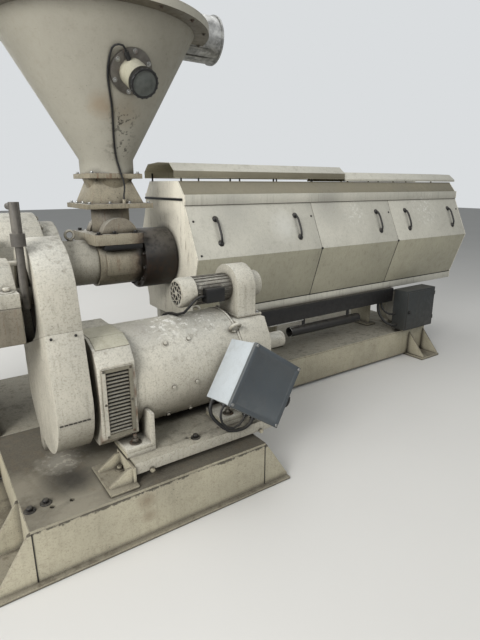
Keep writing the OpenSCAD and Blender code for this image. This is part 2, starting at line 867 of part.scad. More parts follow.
// Sloped sheets above the upper rails, flanged at the top
module guard_neck() {
    color(cream) both_sides() run_x(cover_in_x0, cover_in_x3) union() {
        polygon([[-neck_low_y, neck_low_z], [-neck_low_y + neck_t, neck_low_z],
                 [-neck_top_y + neck_t, neck_top_z], [-neck_top_y, neck_top_z]]);
        translate([-neck_top_y - neck_t, neck_top_z - neck_t]) square([5 * neck_t, neck_t]);
    }
}

// One folded cover: a sloped upper leaf and a lower leaf that tucks inward
module cover(x0, x1) {
    run_x(x0, x1) polygon([
        [-seam_y, seam_z], [-fold_y, fold_z], [-shoulder_y, shoulder_z],
        [-shoulder_y + cover_t, shoulder_z], [-fold_y + cover_t, fold_z], [-seam_y + cover_t, seam_z]]);
}

cover_gap = 4;

module side_covers() {
    cover(cover_in_x0 + fit, cover_x1 - cover_gap / 2);
    cover(cover_x1 + cover_gap / 2, cover_x2 - cover_gap / 2);
    cover(cover_x2 + cover_gap / 2, cover_in_x3 - fit);
}

module front_covers() {
    color(cream) side_covers();
}

module rear_covers() {
    color(cream) mirror([0, 1, 0]) side_covers();
}

handle_xs = [cover_x0 + 200, cover_x1 - 185, cover_x2 - 185, cover_x2 + 190, cover_x3 - 175];
slope_angle = atan2(fold_y - shoulder_y, shoulder_z - fold_z);

// A pull handle lying on the sloped leaf of a cover
module pull_handle(x) {
    translate([x, -(fold_y + shoulder_y) / 2, (fold_z + shoulder_z) / 2]) rotate([-slope_angle, 0, 0])
        rotate([0, -90, 0]) translate([0, 0, -8]) linear_extrude(16) polygon([
            [-95, 0], [-95, -8], [-78, -10], [-62, -34], [62, -34], [78, -10], [95, -8], [95, 0],
            [72, 0], [56, -24], [-56, -24], [-72, 0]]);
}

module front_handles() {
    color(dark) for (x = handle_xs) pull_handle(x);
}

module rear_handles() {
    color(dark) mirror([0, 1, 0]) for (x = handle_xs) pull_handle(x);
}

hood_half_w = 222;
hood_rise = 63;
hood_side_z = neck_top_z + hood_rise;
post_pitch = 370;
hood_t = 4;
hood_step = 40;
hood_split = 1870;

// A folded hood on posts; its low edges end at z0
module hood(x0, x1, drop, z0) {
    z1 = hood_side_z - drop;
    run_x(x0, x1) difference() {
        polygon([[-hood_half_w, z0], [-hood_half_w, z1], [-160, z1 + 48], [0, z1 + 56], [160, z1 + 48],
                 [hood_half_w, z1], [hood_half_w, z0]]);
        translate([0, -hood_t]) polygon([
            [-hood_half_w + hood_t, z0], [-hood_half_w + hood_t, z1 + 2], [-158, z1 + 48], [0, z1 + 56],
            [158, z1 + 48], [hood_half_w - hood_t, z1 + 2], [hood_half_w - hood_t, z0]]);
    }
}

module guard_hoods() {
    color(cream) {
        hood(cover_x0 - 30, hood_split, 0, neck_top_z + 20);
        hood(hood_split + 4, cover_x3 + 60, hood_step, neck_top_z + 6);
    }
}

// Upright strips between the neck and the hoods
module hood_post(x, drop) {
    y = -hood_half_w + hood_t;
    block([x, y, neck_top_z], [x + 8, y + 10, hood_side_z - drop - 10]);
}

module guard_hood_posts() {
    color(dark) both_sides() {
        for (x = [cover_in_x0 + 12 : post_pitch : hood_split - 10]) hood_post(x, 0);
        for (x = [hood_split + 40 : post_pitch : cover_in_x3 - 20]) hood_post(x, hood_step);
    }
}

wireway_w = 100;
wireway_h = 120;
wireway_y = -seam_y + 22;
wireway_z0 = rail_z - wireway_h;
wireway_x0 = cover_x0 + 60;
wireway_x1 = cover_x3 - 890;
duct_r = 39;
duct_wall = 5;
duct_len = 770;
duct_x0 = cover_x0 + 879;
duct_z = wireway_z0 - 100;
pipe_r = 10;

// A wireway under the front rail, with a thin pipe and an open duct hung below
module cable_wireway() {
    color(dark) {
        block([wireway_x0, wireway_y - wireway_w / 2, wireway_z0],
              [wireway_x1, wireway_y + wireway_w / 2, rail_z]);
        difference() {
            union() {
                bar_x(duct_x0, duct_x0 + duct_len, duct_r, wireway_y, duct_z);
                for (x = [duct_x0 + 130, duct_x0 + duct_len - 140])
                    block([x, wireway_y - 4, duct_z], [x + 30, wireway_y + 4, wireway_z0]);
            }
            bar_x(duct_x0 - 1, duct_x0 + duct_len + 1, duct_r - duct_wall, wireway_y, duct_z);
        }
    }
    color("#d8d8d4")
        bar_x(duct_x0 - 220, duct_x0 + 120, pipe_r, wireway_y - 2 * pipe_r, wireway_z0 - pipe_r + 1);
}

barrel_blower_r = 150;
barrel_blower_w = 110;
barrel_blower_at = [base_far_x - 160, -200, base_h + 10 + barrel_blower_r];

// A round blower housing on the base, beside the barrel
module barrel_blower() {
    x = barrel_blower_at[0];
    y = barrel_blower_at[1];
    color(cream) {
        bar_y(y, y + barrel_blower_w, barrel_blower_r, x, barrel_blower_at[2]);
        block([x - 90, y + 15, base_h], [x + 90, y + barrel_blower_w - 15, base_h + 60]);
    }
}

terminal_len = 400;
terminal_d = 140;
terminal_h = 355;
terminal_overhang = 80;
terminal_at = [wireway_x1, -base_half_w - terminal_overhang, base_h + 31];

// A closed electrical box on a low stand at the front edge of the base
module terminal_box() {
    x = terminal_at[0];
    y1 = terminal_at[1] + terminal_d;
    color("#4a4f52") {
        block(terminal_at, terminal_at + [terminal_len, terminal_d, terminal_h]);
        block([x + 60, -base_half_w + 8, base_h], [x + terminal_len - 60, y1 - 2, terminal_at[2]]);
    }
}

// A clamp ring round the barrel's end, then a spool with a bolting flange
module discharge_adapter() {
    x = barrel_x1;
    color(dark) difference() {
        union() {
            difference() {
                bar_x(x - 70, x, discharge_r, 0, screw_z);
                bar_x(x - 71, x, barrel_r + fit, 0, screw_z);
            }
            bar_x(x, x + 90, barrel_r + 20, 0, screw_z);
            bar_x(x + 90, x + 120, discharge_r, 0, screw_z);
        }
        bar_x(x - 1, x + 121, barrel_bore_r, 0, screw_z);
        for (a = [22.5 : 45 : 359])
            translate([0, 0, screw_z]) rotate([a, 0, 0]) bar_x(x + 89, x + 121, anchor_r, 0, discharge_r - 17);
    }
}

// ---- Cords: each route is a list of points, and a tube is swept along it ----

function unit(v) = v / norm(v);
function route_way(p, i) = unit(p[min(i + 1, len(p) - 1)] - p[max(i - 1, 0)]);

// A side direction at each point, carried along the route without twist
function route_sides(p, i = 0, last = [0.3, 0.5, 0.81]) = i >= len(p) ? [] :
    let (w = route_way(p, i), s = unit(last - (last * w) * w))
    concat([s], route_sides(p, i + 1, s));

module tube(p, r, n = 8) {
    a = route_sides(p);
    last = (len(p) - 1) * n;
    polyhedron(
        points = [for (i = [0 : len(p) - 1]) let (b = cross(route_way(p, i), a[i]))
            for (k = [0 : n - 1]) p[i] + r * (cos(360 * k / n) * a[i] + sin(360 * k / n) * b)],
        faces = concat(
            [[for (k = [0 : n - 1]) k]],
            [[for (k = [n - 1 : -1 : 0]) last + k]],
            [for (i = [0 : len(p) - 2], k = [0 : n - 1]) [i * n + k, (i + 1) * n + k, (i + 1) * n + (k + 1) % n]],
            [for (i = [0 : len(p) - 2], k = [0 : n - 1]) [i * n + k, (i + 1) * n + (k + 1) % n, i * n + (k + 1) % n]]));
}

// A point of the level sensor's own frame: along its flange, up its flange, out from the hopper
sensor_tilt = atan(hopper_slope);
function sensor_point(q) =
    let (y = -cone_r(sensor_z) - q[1] * sin(sensor_tilt) - q[2] * cos(sensor_tilt),
         z = sensor_z + q[1] * cos(sensor_tilt) - q[2] * sin(sensor_tilt))
    [hopper_x + q[0] * cos(sensor_turn) - y * sin(sensor_turn),
     q[0] * sin(sensor_turn) + y * cos(sensor_turn), z];

// A point on the hopper's front, x from its axis, with the cable lying on the sheet
sensor_cable_r = 5;
function on_hopper(x, z) =
    let (r = (z > hopper_low_z ? cone_r(z) : hopper_low_r) + (sensor_cable_r + 0.5) / cos(sensor_tilt))
    [hopper_x + x, -sqrt(r * r - x * x), z];

gland_out = [-sin(sensor_gland_turn), cos(sensor_gland_turn), 0];
sensor_route = concat(
    [sensor_point(gland_out * sensor_gland_r + [0, 0, sensor_gland_z]),
     sensor_point(gland_out * (sensor_gland_r + 12) + [0, 0, sensor_gland_z])],
    [for (q = [[-78, 120, 22], [-97, 121, 17], [-114, 111, 8], [-122, 94, -1]])
        sensor_point(q)],
    [for (q = [[-95, 2150], [-97, 2110], [-93, 2070], [-83, 2030], [-71, 1990], [-59, 1950], [-50, 1910],
               [-42, 1870], [-35, 1830], [-27, 1790], [-18, 1750], [-7, 1710], [6, 1670], [18, 1628]])
        on_hopper(q[0], q[1])],
    [for (q = [[27, -171, 158], [35, -173, 129], [38, -176, 99], [34, -179, 72], [28, -181, 48], [28, -181, 24]])
        [hopper_x + q[0], q[1], low_plate_z + 2 * plate_t + q[2]]]);

module sensor_cable() {
    color(dark) tube(sensor_route, sensor_cable_r);
}

// A point on the motor's yoke, a degrees back from its top, with the cable lying on it
function on_yoke(x, a) =
    [x, motor_y + (yoke_r + blower_cable_lift) * sin(a), motor_z + (yoke_r + blower_cable_lift) * cos(a)];

blower_route = concat(
    [for (q = [[0, -86, -15], [-24, -86, -15], [-48, -87, -23], [-69, -82, -43], [-87, -71, -69],
               [-103, -53, -94]]) [blower_x0 - 179 + q[0], blower_y + q[1], blower_z + q[2]]],
    [for (q = [[33, -3], [28, 7], [25, 17]]) on_yoke(q[0], q[1])],
    [for (a = [27 : 10 : 87]) on_yoke(blower_cable_x, a)],
    [for (z = [230, 180, 130, 80, blower_gland_h])
        [blower_cable_x, motor_y + yoke_r + blower_cable_lift, slide_top + z]]);

module blower_cable() {
    color(dark) tube(blower_route, blower_cable_r);
}

// A point of the conduit box's own frame
box_axes = [[0.8172, -0.0698, -0.5722], [-0.0227, 0.9878, -0.1541], [0.5760, 0.1389, 0.8056]];
function box_point(q) = box_at + q[0] * box_axes[0] + q[1] * box_axes[1] + q[2] * box_axes[2];
function under_gland(i, h) = box_point([box_glands[i][0], box_glands[i][1], -box_side / 2 - gland_h - h]);

// Points of a loop between the box's glands, from the box's middle and the slide's top
function below_box(p) = [for (q = p) [box_at[0] + q[0], box_at[1] + q[1], slide_top + q[2]]];

outer_loop_r = 9;
outer_loop = concat([under_gland(0, 0), under_gland(0, 8)],
    below_box([[-219, 59, 145], [-218, 52, 116], [-205, 45, 89], [-167, 32, 43], [-133, 23, 16],
               [-90, 19, 6], [-57, 17, 6], [-35, 16, 10], [-15, 17, 19]]),
    [under_gland(1, 6), under_gland(1, 0)]);
inner_loop_r = 6;
inner_loop = concat([under_gland(2, 0), under_gland(2, 8)],
    [for (q = [[-86, -20], [-76, -50], [-50, -74], [-12, -83], [24, -73], [50, -46]])
        box_point([q[0], box_glands[2][1], q[1] - box_side / 2 - gland_h])],
    [under_gland(3, 16), under_gland(3, 0)]);

module conduit_loop_outer() {
    color(dark) tube(outer_loop, outer_loop_r, 10);
}

module conduit_loop_inner() {
    color(dark) tube(inner_loop, inner_loop_r);
}

// Two hoses from the wireway into the near end of the terminal box: the first points are measured
// from the wireway's corner, the last from the box's
function from_wireway(p) = [for (q = p) [wireway_x1 + q[0], wireway_y + q[1], wireway_z0 + q[2]]];
function to_terminal(p) = [for (q = p) [terminal_at[0] + q[0], terminal_at[1] + q[1], terminal_at[2] + q[2]]];

outer_hose_r = 11;
outer_hose = concat(
    from_wireway([[-145, -10, 0], [-145, -10, -34], [-143, -17, -75], [-136, -33, -117], [-122, -59, -156]]),
    to_terminal([[-99, 114, 60], [-67, 94, 43], [-32, 88, 36], [0, 88, 36]]));
inner_hose_r = 9;
inner_hose = concat(
    from_wireway([[-100, -5, 0], [-100, -5, -18], [-98, -12, -44], [-92, -24, -68], [-82, -40, -88],
                  [-68, -57, -102]]),
    to_terminal([[-49, 129, 134], [-24, 119, 130], [-8, 116, 129], [0, 116, 129]]));

module terminal_hose_outer() {
    color(dark) tube(outer_hose, outer_hose_r, 10);
}

module terminal_hose_inner() {
    color(dark) tube(inner_hose, inner_hose_r);
}

base_front_beam();
base_rear_beam();
base_top_plate();
base_cross_members();
base_end_feet();
platform_top();
platform_skirt();
slide_base();
slide_bracket();
motor_yoke();
motor_drive_end();
motor_grille();
motor_rear_housing();
motor_feet();
motor_tachometer();
blower_scroll();
blower_motor();
conduit_box();
lifting_eyes();
belt_guard_upper();
belt_guard_lower();
motor_sheave();
gearbox_sheave();
drive_belts();
gearbox_case();
gearbox_cover();
oil_line();
thrust_bearing_housing();
thrust_cylinder();
feed_section();
feed_throat();
barrel_flange();
barrel();
barrel_supports();
hopper_transition();
hopper_cone();
hopper_rim();
hopper_lid();
vent_spout();
level_sensor();
guard_end_plates();
guard_frame();
guard_neck();
front_covers();
rear_covers();
front_handles();
rear_handles();
guard_hoods();
guard_hood_posts();
cable_wireway();
barrel_blower();
terminal_box();
discharge_adapter();
sensor_cable();
blower_cable();
conduit_loop_outer();
conduit_loop_inner();
terminal_hose_outer();
terminal_hose_inner();
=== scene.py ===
"""Single-screw plastic extruder: finishes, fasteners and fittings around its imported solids.

Sizes are written in millimetres, and turned to metres where a shape is made. Only the cables' routes,
the camera and the lamps are placed in metres. The frame of the solids is kept: X runs from the gearbox
to the discharge end, Y away from the motor, and Z up from the floor.
"""
import math
import random

import bpy
from mathutils import Euler, Matrix, Vector


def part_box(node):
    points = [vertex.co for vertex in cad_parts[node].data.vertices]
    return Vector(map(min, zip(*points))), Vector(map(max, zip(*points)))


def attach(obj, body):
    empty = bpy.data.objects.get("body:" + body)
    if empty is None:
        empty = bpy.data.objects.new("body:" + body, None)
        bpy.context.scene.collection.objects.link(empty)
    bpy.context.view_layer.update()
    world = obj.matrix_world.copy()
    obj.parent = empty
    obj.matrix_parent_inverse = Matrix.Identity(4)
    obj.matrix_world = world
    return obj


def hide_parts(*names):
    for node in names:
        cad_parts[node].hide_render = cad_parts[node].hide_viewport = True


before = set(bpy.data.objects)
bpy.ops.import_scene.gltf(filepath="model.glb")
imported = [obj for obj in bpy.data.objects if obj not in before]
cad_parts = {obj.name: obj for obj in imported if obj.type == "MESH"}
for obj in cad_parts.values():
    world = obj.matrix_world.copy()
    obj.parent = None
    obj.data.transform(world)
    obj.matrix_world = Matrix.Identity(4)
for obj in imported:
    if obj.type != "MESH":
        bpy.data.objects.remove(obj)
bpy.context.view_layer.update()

MM = 0.001

bl_info = {
    "name": "Plastic Extruder Finish",
    "version": (1, 0, 0),
    "blender": (4, 5, 0),
    "location": "3D View > Sidebar > Extruder",
    "description": "Paints and fits out a single-screw plastic extruder",
    "category": "Object",
}


def linear(hex_colour):
    """An sRGB hex colour as linear red, green, blue and alpha."""
    parts = [int(hex_colour[i:i + 2], 16) / 255 for i in (1, 3, 5)]
    return [c / 12.92 if c <= 0.04045 else ((c + 0.055) / 1.055) ** 2.4 for c in parts] + [1.0]


def colour_prop(name, description, hex_colour):
    return bpy.props.FloatVectorProperty(
        name=name, description=description, size=4, subtype="COLOR", min=0, max=1,
        default=linear(hex_colour))


def size_prop(name, description, mm):
    return bpy.props.FloatProperty(
        name=name, description=description, default=mm * MM, min=0, unit="LENGTH")


class ExtruderSizes(bpy.types.PropertyGroup):
    edge: size_prop("Edge", "Rounding of sheet and plate edges", 2)
    casting_edge: size_prop("Casting edge", "Rounding of cast and machined edges", 4)
    frame_bolt: size_prop("Frame bolt", "Across flats of the large hexagon heads", 24)
    cover_bolt: size_prop("Cover bolt", "Across flats of the small hexagon heads", 14)
    pole_bolt: size_prop("Pole bolt", "Across flats of the motor's pole bolts", 17)
    lens: bpy.props.FloatProperty(
        name="Lens", description="Focal length on a 36 mm sensor", default=26.44, min=1, unit="CAMERA")


class ExtruderColours(bpy.types.PropertyGroup):
    paint: colour_prop("Machine paint", "Putty enamel of motor, gearbox and belt guard", "#B9B4A5")
    covers: colour_prop("Cover paint", "Putty enamel of the barrel covers", "#B8B5A8")
    base: colour_prop("Base paint", "Yellowed enamel of the base and platform", "#ABA48E")
    hopper: colour_prop("Hopper paint", "Enamel of the hopper", "#A39F91")
    # oil and dirt, and also the painted shade in corners and on faces that look down
    grime_and_shade: colour_prop("Grime", "Oil and dirt in corners", "#3B352B")
    rust: colour_prop("Rust", "Rust and scorched paint", "#6A4A30")
    pale_dust: colour_prop("Pale dust", "Plastic dust on the motor and covers", "#C6C4BA")
    floor_dirt: colour_prop("Trodden dirt", "Oily dirt on the base's upper faces", "#5F594D")
    # the box body's pale grey is the cover's grey painted lighter as painted light
    box_painted_light: colour_prop("Box body", "Pale grey of the conduit box body", "#B2B8BB")
    box_dark: colour_prop("Box cover", "Blue-grey of the conduit box cover", "#41474B")
    black: colour_prop("Black plastic", "Cables, caps and loops", "#0F0F0F")
    iron: colour_prop("Black iron", "Handles and flange", "#110F0E")
    steel: colour_prop("Steel", "Bright steel and zinc", "#A9A9A6")
    floor: colour_prop("Floor", "Studio floor", "#CFCDC8")


def sizes():
    return bpy.context.scene.extruder_sizes


def colours():
    return bpy.context.scene.extruder_colours


# Materials, each listed by name

MATERIALS = {}


def add(tree, kind, links=None, out=0, **settings):
    """Adds one shader node with its settings, its links or values, and gives back one output."""
    n = tree.nodes.new("ShaderNode" + kind)
    for key, value in settings.items():
        setattr(n, key, value)
    for key, value in (links or {}).items():
        if isinstance(value, bpy.types.NodeSocket):
            tree.links.new(value, n.inputs[key])
        else:
            n.inputs[key].default_value = value
    return n.outputs[out] if n.outputs else None


def shades(colour, factor):
    """A lighter or darker shade of a colour."""
    return [c * factor for c in colour[:3]] + [1.0]


def blank_material(name):
    """Makes and lists an empty material, and gives back its node tree."""
    mat = bpy.data.materials.new(name)
    mat.use_nodes = True
    mat.node_tree.nodes.clear()
    MATERIALS[name] = mat
    return mat.node_tree


def finish_material(tree, colour, roughness, normal=None, metallic=0.0, ior=None):
    """Joins colour, roughness and relief to the surface shader."""
    values = {"Base Color": colour, "Roughness": roughness, "Metallic": metallic}
    if normal is not None:
        values["Normal"] = normal
    if ior:
        values["IOR"] = ior
    add(tree, "OutputMaterial", {"Surface": add(tree, "BsdfPrincipled", values)})


def lay(tree, below, above, value, low, high, most=1.0, within=None):
    """Lays one colour over another, up to most, as value goes from low to high, and only within
    another factor where one is given."""
    factor = add(tree, "MapRange", {"Value": value, "From Min": low, "From Max": high, "To Max": most})
    if within is not None:
        factor = add(tree, "Math", {0: factor, 1: within}, operation="MULTIPLY")
    return add(tree, "Mix", {0: factor, 6: below, 7: above}, 2, data_type="RGBA")


def streaks_along(tree, co, scale, detail, roughness):
    """Stretches a cloudy pattern into streaks: scale is how often it repeats in a metre of X, Y, Z."""
    stretched = add(tree, "Mapping", {"Vector": co, "Scale": scale})
    return add(tree, "TexNoise", {"Vector": stretched, "Scale": 1.0, "Detail": detail,
                                  "Roughness": roughness})


def enamel(name, colour, dust=0.7, dust_colour=None, chips=0.35, streaks=0.35, speckle=0.3,
           pepper=0.25, grime_and_shade=0.8, rust=0.0, roughness=0.5, shade=0.86, cover=0.45, heat=None,
           stains=(), under=0.5, grease=None):
    """Brushed or sprayed oil enamel on steel: satin, slightly uneven, dusty on top, dark in corners with
    oil and painted shade, chipped to brown primer on edges and streaked downwards on upright faces.
    Dust, chips, streaks and the like say how strong each is, 0 for none. Shade is the tone of the
    darker patches, cover the least share of the dust, under the painted shade on faces that look down,
    and grime_and_shade the oil and painted shade in corners.
    Each stain has its place and radius in mm, its colour, its strength and whether it is spotted."""
    c = colours()
    tree = blank_material(name)
    co = add(tree, "TexCoord", out="Object")
    normal = add(tree, "NewGeometry", out="Normal")
    up = add(tree, "SeparateXYZ", {0: normal}, "Z")
    lying = add(tree, "MapRange", {"Value": up, "From Min": 0.2, "From Max": 0.8})
    upright = add(tree, "MapRange", {"Value": up, "From Min": 0.7, "From Max": 0.1})
    # cloudy patterns, each by the size of its blobs in mm, its detail and its roughness
    patches, mottle, clots, chip_shape, fine, grain = [
        add(tree, "TexNoise", {"Vector": co, "Scale": 1000.0 / size, "Detail": detail,
                               "Roughness": ragged})
        for size, detail, ragged in ((300, 4.0, 0.6), (40, 6.0, 0.65), (26, 4.0, 0.6),
                                     (17, 5.0, 0.7), (8, 5.0, 0.8), (3, 2.0, 0.6))]

    # the paint's own patches, then dirt in blotches 40 mm and peppering 8 mm across
    body = lay(tree, shades(colour, 1.05), shades(colour, shade), patches, 0.35, 0.68)
    body = lay(tree, body, shades(c.grime_and_shade, 2.4), mottle, 0.54, 0.8, speckle * 0.7)
    body = lay(tree, body, shades(c.grime_and_shade, 1.7), fine, 0.51, 0.62, pepper)

    # runs of dirt, 14 mm wide and 600 mm long, on upright faces
    runs = streaks_along(tree, co, (70.0, 70.0, 1.7), 4.0, 0.6)
    body = lay(tree, body, shades(c.grime_and_shade, 1.7), runs, 0.54, 0.76, streaks, upright)

    # chips 4 to 10 mm where the enamel has gone from within 6 mm of an edge
    round_normal = add(tree, "Bevel", {"Radius": 0.006}, samples=4)
    edge = add(tree, "VectorMath", {0: round_normal, 1: normal}, "Value", operation="DOT_PRODUCT")
    at_edge = add(tree, "MapRange", {"Value": edge, "From Min": 0.985, "From Max": 0.86})
    chipped = add(tree, "MapRange", {"Value": chip_shape, "From Min": 0.5, "From Max": 0.58,
                                     "To Max": chips})
    chipped = add(tree, "Math", {0: chipped, 1: at_edge}, operation="MULTIPLY")
    body = add(tree, "Mix", {0: chipped, 6: body, 7: linear("#4A3A2C")}, 2, data_type="RGBA")

    # black specks 3 to 6 mm across, one to 26 mm, in swarms
    specks = add(tree, "TexVoronoi", {"Vector": co, "Scale": 38.0, "Randomness": 1.0}, "Distance")
    swarm = add(tree, "MapRange", {"Value": patches, "From Min": 0.5, "From Max": 0.62,
                                   "To Max": min(1.0, speckle * 1.8)})
    body = lay(tree, body, shades(c.grime_and_shade, 0.5), specks, 0.13, 0.07, within=swarm)

    # scratches through the enamel, 3 mm high and 40 mm long, on upright faces
    scratches = streaks_along(tree, co, (26.0, 26.0, 300.0), 3.0, 0.5)
    body = lay(tree, body, linear("#5A4A38"), scratches, 0.69, 0.73, chips * 0.8, upright)

    if rust:
        # rust creeping from the edges and running down in streaks 25 mm wide and 250 mm long
        creep = streaks_along(tree, co, (40.0, 40.0, 4.0), 6.0, 0.7)
        creep = add(tree, "Math", {0: at_edge, 1: 0.12, 2: creep}, operation="MULTIPLY_ADD")
        body = lay(tree, body, list(c.rust), creep, 0.6 - 0.06 * rust, 0.7, within=upright)

    if heat:
        # scorched to brown and then black towards one end, from heat mm to heat mm along X
        along = add(tree, "SeparateXYZ", {0: co}, "X")
        along = add(tree, "Math", {0: mottle, 1: 0.09, 2: along}, operation="MULTIPLY_ADD")
        cool, hot = [mm * MM + 0.04 for mm in heat]
        body = lay(tree, body, linear("#5A4534"), along, cool, hot)
        body = lay(tree, body, linear("#1E1A18"), along, (cool + hot) / 2, hot)

    # dust lies on faces that look up, thicker in patches and scuffed through
    thick = add(tree, "Math", {0: patches, 1: mottle}, operation="ADD")
    thick = add(tree, "MapRange", {"Value": thick, "From Min": 0.8, "From Max": 1.12, "To Max": dust})
    thick = add(tree, "Math", {0: thick, 1: dust * cover}, operation="MAXIMUM")
    dusty = add(tree, "Math", {0: thick, 1: lying}, operation="MULTIPLY")
    tone = dust_colour or list(c.pale_dust)
    tone = lay(tree, shades(tone, 1.14), shades(tone, 0.8), fine, 0.4, 0.62)
    tone = lay(tree, tone, shades(c.grime_and_shade, 2.8), mottle, 0.5, 0.64, 0.5)
    body = add(tree, "Mix", {0: dusty, 6: body, 7: tone}, 2, data_type="RGBA")

    for place, radius, tone, strength, spotted in stains:
        # a stain round one place, either smeared or broken into spots 9 mm across
        gap = add(tree, "VectorMath", {0: co, 1: Vector(place) * MM}, "Value", operation="DISTANCE")
        gap = add(tree, "Math", {0: mottle, 1: radius * MM, 2: gap}, operation="MULTIPLY_ADD")
        spots = None
        if spotted:
            spots = add(tree, "MapRange", {"Value": clots, "From Min": 0.55, "From Max": 0.59})
        body = lay(tree, body, linear(tone), gap, radius * MM * 1.5, radius * MM * 0.7, strength, spots)

    if grease:
        # a ragged line of old grease along an edge, grease[1] mm to each side of its height
        height = add(tree, "SeparateXYZ", {0: co}, "Z")
        off = add(tree, "Math", {0: height, 1: grease[0] * MM}, operation="SUBTRACT")
        off = add(tree, "Math", {0: off}, operation="ABSOLUTE")
        off = add(tree, "Math", {0: mottle, 1: 0.06, 2: off}, operation="MULTIPLY_ADD")
        half = grease[1] * MM + 0.03
        body = lay(tree, body, shades(c.grime_and_shade, 0.7), off, half + 0.003, half - 0.003, 0.85)

    # painted shade darkens faces that look down, and oil, dirt and painted shade darken within 50 mm of a
    # corner
    body = lay(tree, body, shades(c.grime_and_shade, 1.5), up, 0.05, -0.85, under)
    corner = add(tree, "AmbientOcclusion", {"Distance": 0.05}, "AO", samples=8)
    body = lay(tree, body, list(c.grime_and_shade), corner, 0.86, 0.4, grime_and_shade)

    rough = add(tree, "MapRange", {"Value": mottle, "From Min": 0.3, "From Max": 0.7,
                                   "To Min": roughness - 0.1, "To Max": roughness + 0.18})
    rough = add(tree, "Mix", {0: dusty, 2: rough, 3: 0.95})
    relief = add(tree, "Math", {0: grain, 1: 0.5}, operation="MULTIPLY")
    relief = add(tree, "Math", {0: relief, 1: chipped}, operation="SUBTRACT")
    bump = add(tree, "Bump", {"Height": relief, "Strength": 0.25, "Distance": 0.0008})
    finish_material(tree, body, rough, bump, ior=1.5)


def metal(name, colour, roughness=0.35, rust=0.0, spangle=False):
    """Bare or zinc-coated steel: a metal sheen broken by handling, spangle or rust."""
    tree = blank_material(name)
    co = add(tree, "TexCoord", out="Object")
    # cloudy patterns, each by the size of its blobs in mm, its detail and its roughness
    blotch, bloom, fine = [
        add(tree, "TexNoise", {"Vector": co, "Scale": 1000.0 / size, "Detail": detail,
                               "Roughness": ragged})
        for size, detail, ragged in ((70, 6.0, 0.65), (45, 8.0, 0.75), (2.4, 2.0, 0.6))]
    body = lay(tree, shades(colour, 1.08), shades(colour, 0.62), blotch, 0.35, 0.7)
    rough = add(tree, "MapRange", {"Value": blotch, "From Min": 0.3, "From Max": 0.7,
                                   "To Min": roughness - 0.08, "To Max": roughness + 0.2})
    if spangle:
        # zinc crystals 18 mm across
        cells = add(tree, "TexVoronoi", {"Vector": co, "Scale": 55.0}, "Color")
        cell = add(tree, "SeparateXYZ", {0: cells}, "X")
        tint = add(tree, "MapRange", {"Value": cell, "To Min": 0.72, "To Max": 1.1})
        body = add(tree, "VectorMath", {0: body, 3: tint}, operation="SCALE")
    metallic = 0.9
    if rust:
        rusty = add(tree, "MapRange", {"Value": bloom, "From Min": 0.62 - 0.25 * rust,
                                       "From Max": 0.72 - 0.12 * rust})
        rust_tone = add(tree, "Mix", {0: fine, 6: linear("#3F2B1F"), 7: linear("#6B4B34")}, 2,
                        data_type="RGBA")
        body = add(tree, "Mix", {0: rusty, 6: body, 7: rust_tone}, 2, data_type="RGBA")
        rough = add(tree, "Mix", {0: rusty, 2: rough, 3: 0.9})
        metallic = add(tree, "MapRange", {"Value": rusty, "To Min": 0.9, "To Max": 0.0})
    bump = add(tree, "Bump", {"Height": fine, "Strength": 0.2, "Distance": 0.0006})
    finish_material(tree, body, rough, bump, metallic=metallic)


def moulded(name, colour, roughness=0.5, dust=0.35, dust_colour=None, scorch=0.0):
    """Moulded plastic, rubber or black iron: even colour with a fine grain, grey with dust on top."""
    tree = blank_material(name)
    co = add(tree, "TexCoord", out="Object")
    up = add(tree, "SeparateXYZ", {0: add(tree, "NewGeometry", out="Normal")}, "Z")
    mottle, grain = [
        add(tree, "TexNoise", {"Vector": co, "Scale": 1000.0 / size, "Detail": detail,
                               "Roughness": ragged})
        for size, detail, ragged in ((33, 6.0, 0.65), (2, 2.0, 0.6))]
    body = lay(tree, shades(colour, 1.25), shades(colour, 0.75), mottle, 0.35, 0.7)
    if scorch:
        # burnt-on brown on the sides and underneath
        below = add(tree, "MapRange", {"Value": up, "From Min": 0.45, "From Max": -0.2,
                                       "To Max": scorch})
        body = lay(tree, body, linear("#412D1F"), mottle, 0.4, 0.75, within=below)
    lying = add(tree, "MapRange", {"Value": up, "From Min": 0.1, "From Max": 0.95, "To Max": dust})
    body = lay(tree, body, dust_colour or linear("#8B8579"), mottle, 0.3, 0.55, within=lying)
    rough = add(tree, "MapRange", {"Value": mottle, "From Min": 0.3, "From Max": 0.7,
                                   "To Min": roughness - 0.08, "To Max": roughness + 0.14})
    bump = add(tree, "Bump", {"Height": grain, "Strength": 0.15, "Distance": 0.0004})
    finish_material(tree, body, rough, bump, ior=1.5)


